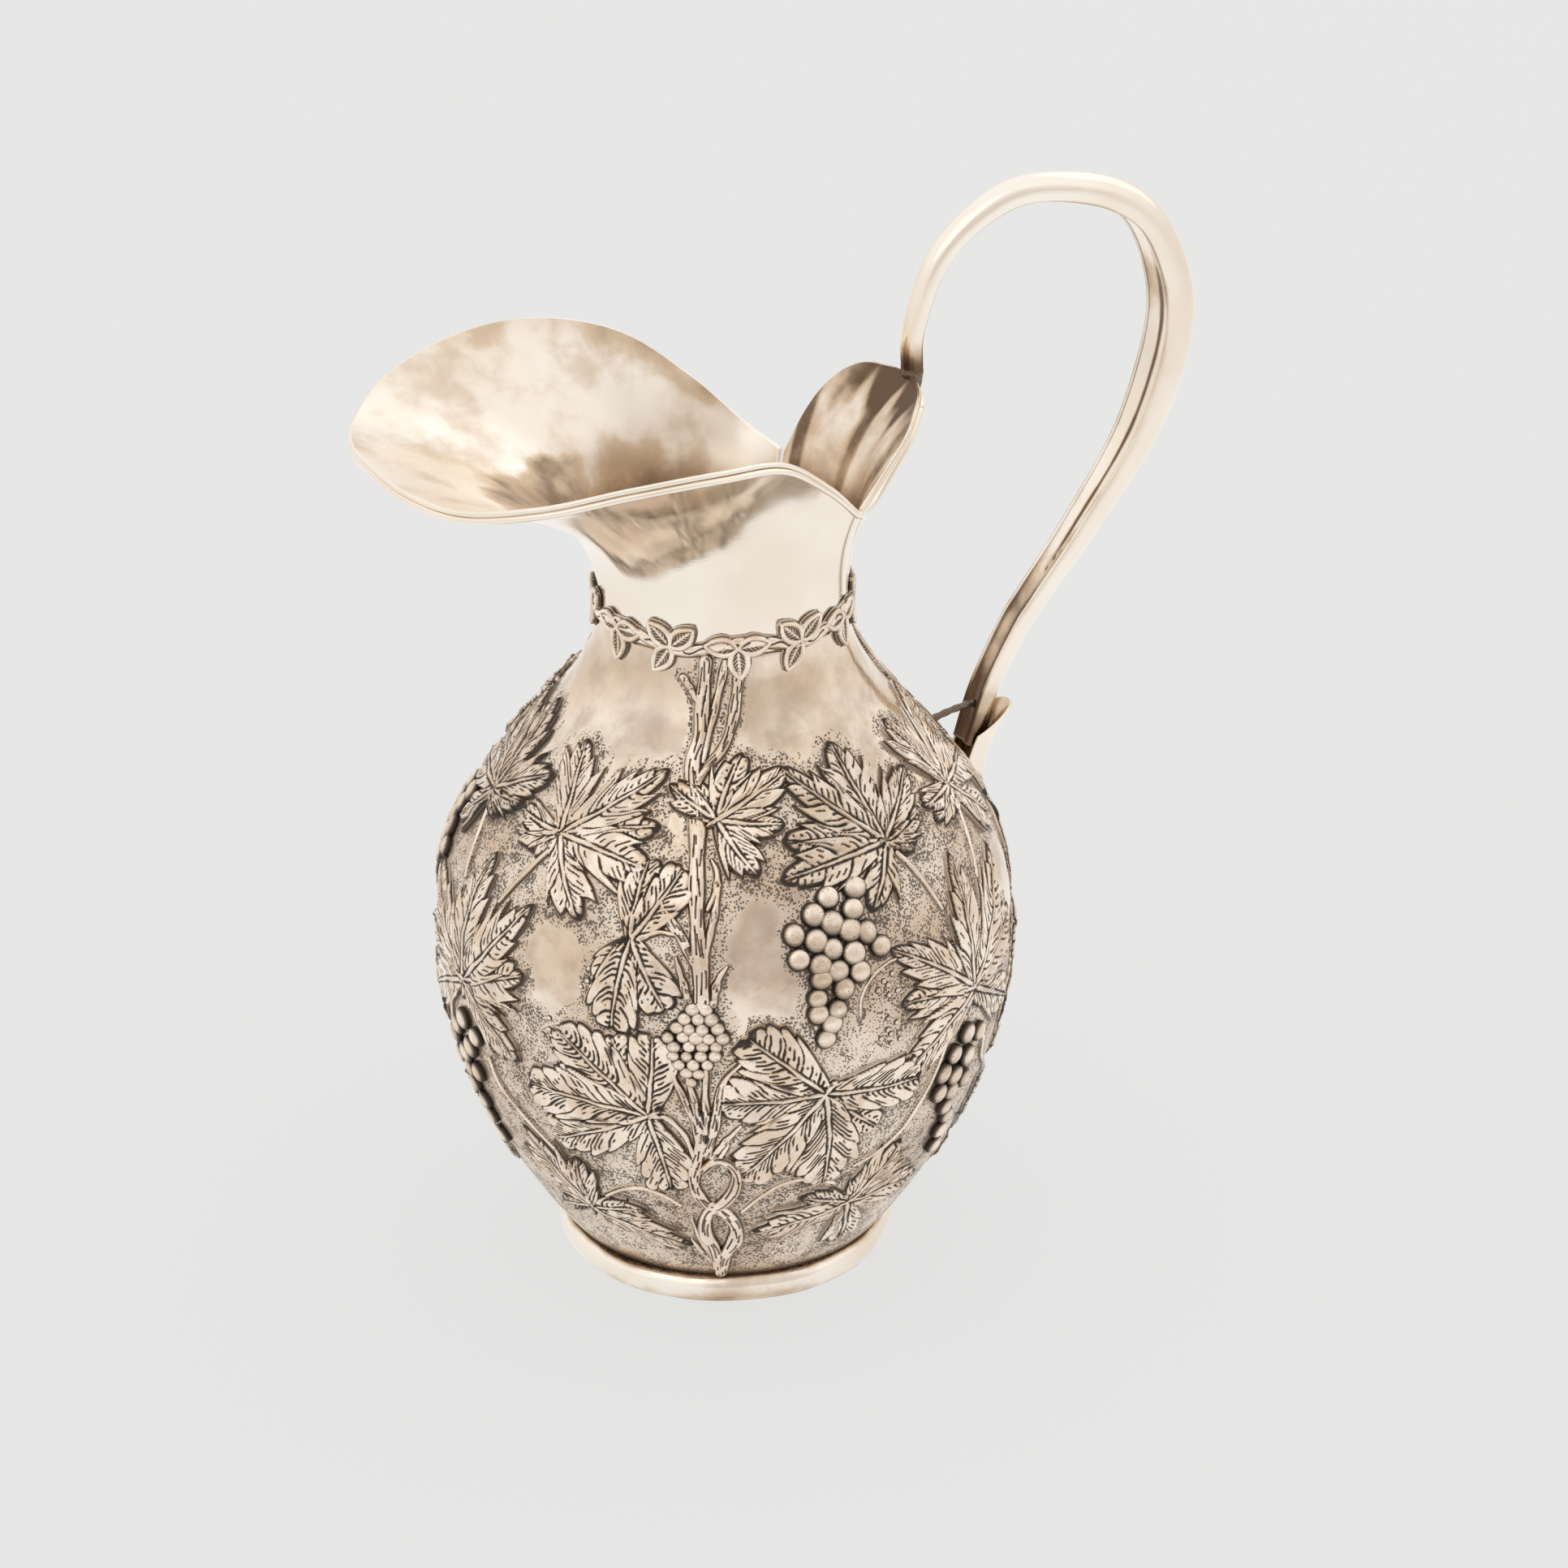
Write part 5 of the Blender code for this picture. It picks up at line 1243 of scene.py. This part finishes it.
def strip_darkness(run):
    """Tarnish and painted shade of the inner strip: painted brown shade at the bulge and toward the foot, a
    dark groove and a few pits.
    """
    half = np.linspace(-1, 1, STRIP_POINTS)
    across = np.concatenate([half, half[::-1]])[None, :]
    # Painted brown shade at the bulge and toward the foot
    brown = STRIP_BULGE_SHADE * ridge(run - 0.47, 0.07) + STRIP_FOOT_SHADE * spread(run, 0.68, 0.86)
    groove = STRIP_GROOVE_DARK * ridge(across + 0.25, 0.22) * spread(run, 0.40, 0.52) * fade(run, 0.74, 0.82)
    dark = np.clip(STRIP_DARK + brown + groove + 0.2 * np.abs(across) ** 3, 0, 1)
    for spot, side in STRIP_PITS:
        dark = np.maximum(dark, ridge(run - spot, 0.003) * ridge(across - side, 0.22))
    return dark


def make_handle():
    line = handle_line(HANDLE_POINTS)
    run = np.linspace(0, 1, HANDLE_POINTS)[:, None]
    solder = 0.9 * fade(run, 0.0, 0.055) + 0.75 * spread(run, 0.90, 0.985)
    for name, outline, dark in (("handle_shell", shell_outline, shell_darkness()),
                                ("handle_inner_strip", strip_outline, strip_darkness(run))):
        grid = handle_grid(line, outline)
        rows, columns = grid.shape[:2]
        first, last = np.arange(columns)[None, ::-1], ((rows - 1) * columns + np.arange(columns))[None, :]
        faces = (grid_faces(rows, columns, True)[:, ::-1], first, last)
        add_grid(f"{name}.formed", grid, faces, POLISHED, (name,),
                 {"dark": np.clip(solder + dark, 0, 1)})
    return line


def rod_piece(name, points, radii, replaced, dark, count=40):
    """A round rod in the handle's plane, along reach and height in mm, with its own radius at each point."""
    line = smooth_line(points, count)
    along = unit(np.gradient(line, axis=0))
    none = np.zeros(count)
    out = np.stack([along[:, 1], none, -along[:, 0]], -1)
    share = np.linspace(0, 1, count)
    size = np.interp(share, np.linspace(0, 1, len(radii)), radii) * (0.92 + 0.16 * np.sin(share * 13) ** 2)
    tube_piece(name, in_frame(line[:, 0], none, line[:, 1]), out, np.tile((0.0, 1.0, 0.0), (count, 1)),
               size * MM, RELIEF, replaced, dark)


def make_solder(line):
    """Dark solder where the handle's end runs over the lip and down its back."""
    end = line[0]

    def behind(drop, out):
        z = LIP_TOP - drop
        return NECK_R + (LIP_REACH - NECK_R) * ((z - NECK_Z) / (LIP_TOP - NECK_Z)) ** FLARE_POWER + out, z

    points = [(end[0], end[1] + 1.6), (end[0] + 0.6, LIP_TOP)] + [behind(*place) for place in SOLDER_PLACES]
    rod_piece("handle_solder_tail", points, SOLDER_RADII, (), SOLDER_DARK)


def make_socket(line):
    """A plain pointed leaf that stands on the body's relief, bent round the handle's foot."""
    foot, up_point = line[-1], line[-24]
    lean = math.atan2(up_point[0] - foot[0], up_point[1] - foot[1])
    turn = np.linspace(-SOCKET_SPREAD, SOCKET_SPREAD, SOCKET_COLUMNS)[None, :]
    share = np.linspace(0, 1, SOCKET_ROWS)[:, None]

    def place(radius, up):
        out, side = radius * np.cos(turn), radius * np.sin(turn)
        x = foot[0] + out * math.cos(lean) + up * math.sin(lean)
        return x, side, foot[1] - out * math.sin(lean) + up * math.cos(lean)

    inner_reach = foot[2] + SOCKET_CLEARANCE
    drop = np.zeros(turn.shape)
    for _ in range(SOCKET_STEPS):
        x, side, z = place(inner_reach + SOCKET_WALL, -drop)
        slope = np.interp(z, OUTLINE_Z, OUTLINE_SLOPE)
        off_body = (np.hypot(x, side) - body_radius(z)) / np.hypot(1, slope)
        drop = np.where(off_body > SOCKET_SEAT, drop + SOCKET_STEP, drop)
    top = SOCKET_HEIGHT * np.cos(turn * 0.5) ** 3
    up = -drop + share * (top + drop)
    high = np.clip(up / SOCKET_HEIGHT, 0, 1)
    rib = 0.35 * ridge(turn, 0.2) * (1 - 0.6 * share)
    inner = inner_reach + SOCKET_FLARE * np.maximum(up, 0) + 1.1 * high ** 3
    inner = inner + SOCKET_SKIRT * (1 - share) ** 2 * np.cos(turn * 0.8) ** 2
    wall = SOCKET_WALL * (0.75 - 0.25 * share) + rib
    seat = 0.85 * fade(share, 0.0, 0.2)
    dark = np.clip(0.10 + seat + 0.25 * ridge(np.abs(turn) - 0.32, 0.12), 0, 1)
    grid = np.concatenate([in_frame(*place(inner + wall, up)), in_frame(*place(inner, up))[::-1]])
    rows, columns = grid.shape[:2]
    faces = (grid_faces(rows, columns), fold_faces(rows, columns))
    add_grid("handle_socket_leaf.bent", grid, faces, POLISHED, ("handle_socket_leaf",),
             {"dark": np.concatenate([dark, np.full_like(dark, 0.55)])})


def make_twig(line):
    """A twig from the shoulder to the grip side of the handle's foot, and a dark root along the body that is
    painted shade of the gap there.
    """
    handle_end = HANDLE_FOOT_Z + TWIG_RISE
    body_end = handle_end - TWIG_DROP
    end = float(np.interp(handle_end, line[::-1, 1], line[::-1, 0])) - TWIG_SUNK
    start = float(body_radius(body_end)) + 0.8
    points = ((start, body_end), ((start + end) / 2, handle_end - TWIG_DROP * 0.35), (end, handle_end))
    rod_piece("handle_strut_twig.bent", points, (TWIG_RADIUS, TWIG_RADIUS * 0.9, TWIG_RADIUS),
              ("handle_strut_twig",), TWIG_DARK)
    # The root: a dark rod standing in for the shade in the gap
    downs = np.linspace(body_end + 1.5, HANDLE_FOOT_Z - 1.0, len(ROOT_RADII))
    root = [(float(body_radius(z)) + 1.0, z) for z in downs]
    rod_piece("handle_strut_root", root, ROOT_RADII, (), ROOT_SHADE)


def make_foot():
    """The rolled foot ring, a little uneven from hand work."""
    bead = FOOT_HEIGHT / 2
    seat = BASE_Z - SEAT_GAP
    arc = np.radians(np.linspace(*FOOT_ARC, FOOT_ARC_POINTS))
    inner = [(FOOT_BORE, seat * 0.5), (FOOT_BORE + 0.4, seat), (BASE_R - 0.5, seat),
             (BASE_R + 0.2, seat + 0.25), (BASE_R + 0.75, FOOT_HEIGHT - bead * 0.42)]
    roll = [(FOOT_R - bead + bead * math.cos(t), bead + bead * math.sin(t)) for t in arc]
    under = [(FOOT_R - bead * 0.6, 0.06), (FOOT_R - bead * 0.75, 0.0), (FOOT_BORE + 0.5, 0.0),
             (FOOT_BORE, 0.5)]
    profile = np.array(inner + roll + under)
    rows, columns = len(profile), FOOT_COLUMNS
    angle = np.linspace(0, 2 * math.pi, columns, endpoint=False)
    swell = 0.32 * np.sin(2 * angle + 0.7) + 0.25 * np.sin(5 * angle + 2.1) + 0.12 * np.sin(11 * angle) - 0.7
    radius = profile[:, :1] + spread(profile[:, :1], BASE_R, FOOT_R) * swell[None, :]
    grid = in_room(np.repeat(angle[None, :], rows, 0), radius, np.repeat(profile[:, 1:], columns, 1))
    down = np.degrees(arc[0] - arc)
    # Painted reflection of the body in the cove and painted shade on the roll's lower side; the rest is an
    # uneven brown tone
    cove = 0.66 * fade(down, 0, 46) + 0.22 * spread(down, 70, 120)
    dark = np.full((rows, columns), FOOT_UNDER)
    dark[:len(inner)] = np.array(FOOT_INNER)[:, None]
    dark[len(inner):len(inner) + len(roll)] = cove[:, None] + 0.20 + 0.08 * np.sin(3 * angle + 1)
    k = np.arange(columns)
    following, last = (k + 1) % columns, (rows - 1) * columns
    seam = np.stack([k, following, last + following, last + k], -1)
    add_grid("foot_ring.rolled", grid, (grid_faces(rows, columns, True)[:, ::-1], seam), POLISHED,
             ("foot_ring",), {"dark": dark})


def make_world():
    """Bright wrap-round tent light, hazier at the horizon and dimmer on one side."""
    world = bpy.data.worlds.new("studio")
    world.use_nodes = True
    bpy.context.scene.world = world
    tree = world.node_tree
    direction = node_of(tree, "ShaderNodeTexCoord").outputs["Generated"]
    parts = node_of(tree, "ShaderNodeSeparateXYZ", {"Vector": direction})
    sky = blend(tree, ramp(tree, parts.outputs["Z"], 0.0, HAZE_TOP), HAZE, ZENITH)
    toward = node_of(tree, "ShaderNodeVectorMath", {0: direction}, operation="DOT_PRODUCT")
    toward.inputs[1].default_value = DIM_SIDE
    dim = ramp(tree, toward.outputs["Value"], *DIM_SPREAD)
    background = tree.nodes["Background"]
    background.inputs["Strength"].default_value = 1.0
    plug(tree, background, {"Color": blend(tree, dim, sky, DIM_COLOUR)})


def mix_shaders(tree, share, a, b):
    return node_of(tree, "ShaderNodeMixShader", {"Fac": share, 1: a, 2: b}).outputs["Shader"]


def paper_material():
    """Pale paper that keeps shadows; camera rays see it evenly bright, and metal mirrors a bright tent."""
    material = bpy.data.materials.new("paper")
    material.use_nodes = True
    tree = material.node_tree
    shader = tree.nodes["Principled BSDF"]
    shader.inputs["Roughness"].default_value = 0.9
    shader.inputs["Specular IOR Level"].default_value = 0.0
    place = node_of(tree, "ShaderNodeTexCoord").outputs["Object"]
    grain = ramp(tree, noise(tree, place, PAPER_GRAIN), 0.3, 0.7)
    plug(tree, shader, {"Base Color": blend(tree, grain, *PAPER)})
    light = node_of(tree, "ShaderNodeLightPath").outputs
    seen = node_of(tree, "ShaderNodeEmission", Strength=1.0, Color=(*FLOOR_SEEN, 1))
    far = node_of(tree, "ShaderNodeVectorMath", {0: place}, operation="LENGTH").outputs["Value"]
    fall = blend(tree, ramp(tree, far, *FLOOR_FALL), FLOOR_TENT, FLOOR_FAR)
    tent = node_of(tree, "ShaderNodeEmission", {"Color": fall}, Strength=1.0)
    even = times(tree, light["Is Camera Ray"], FLOOR_EVEN)
    paper = mix_shaders(tree, even, shader.outputs["BSDF"], seen.outputs["Emission"])
    mirrored = maths(tree, "MAXIMUM", light["Is Glossy Ray"], light["Is Transmission Ray"])
    whole = mix_shaders(tree, times(tree, mirrored, TENT_SHARE), paper, tent.outputs["Emission"])
    plug(tree, tree.nodes["Material Output"], {"Surface": whole})
    return material


def make_stage():
    """Floor, world, lamps and the camera."""
    make_world()
    mesh = bpy.data.meshes.new("floor")
    corners = [(x * FLOOR_HALF, y * FLOOR_HALF, 0) for x, y in ((-1, -1), (1, -1), (1, 1), (-1, 1))]
    mesh.from_pydata(corners, [], [(0, 1, 2, 3)])
    mesh.materials.append(paper_material())
    floor = add_object("floor", mesh)
    for name, spot, size, power in LAMPS:
        lamp = bpy.data.lights.new(name, "AREA")
        lamp.size = size
        lamp.energy = power
        stand = add_object(name, lamp)
        stand.location = spot
        stand.rotation_euler = (LAMP_AIM - Vector(spot)).to_track_quat("-Z", "Y").to_euler()
    camera = bpy.data.cameras.new("camera")
    camera.lens = CAMERA_LENS
    camera.sensor_width = CAMERA_SENSOR
    view = add_object("camera", camera)
    view.location = (AXIS_X + CAMERA_PLACE[0], CAMERA_PLACE[1], CAMERA_PLACE[2])
    view.rotation_euler = [math.radians(t) for t in CAMERA_TURN]
    bpy.context.scene.camera = view
    bpy.context.scene.view_settings.view_transform = "Standard"


make_stage()
make_body()
make_leaves()
make_vines()
make_grapes()
make_neck()
make_collar()
handle = make_handle()
make_solder(handle)
make_socket(handle)
make_twig(handle)
make_foot()
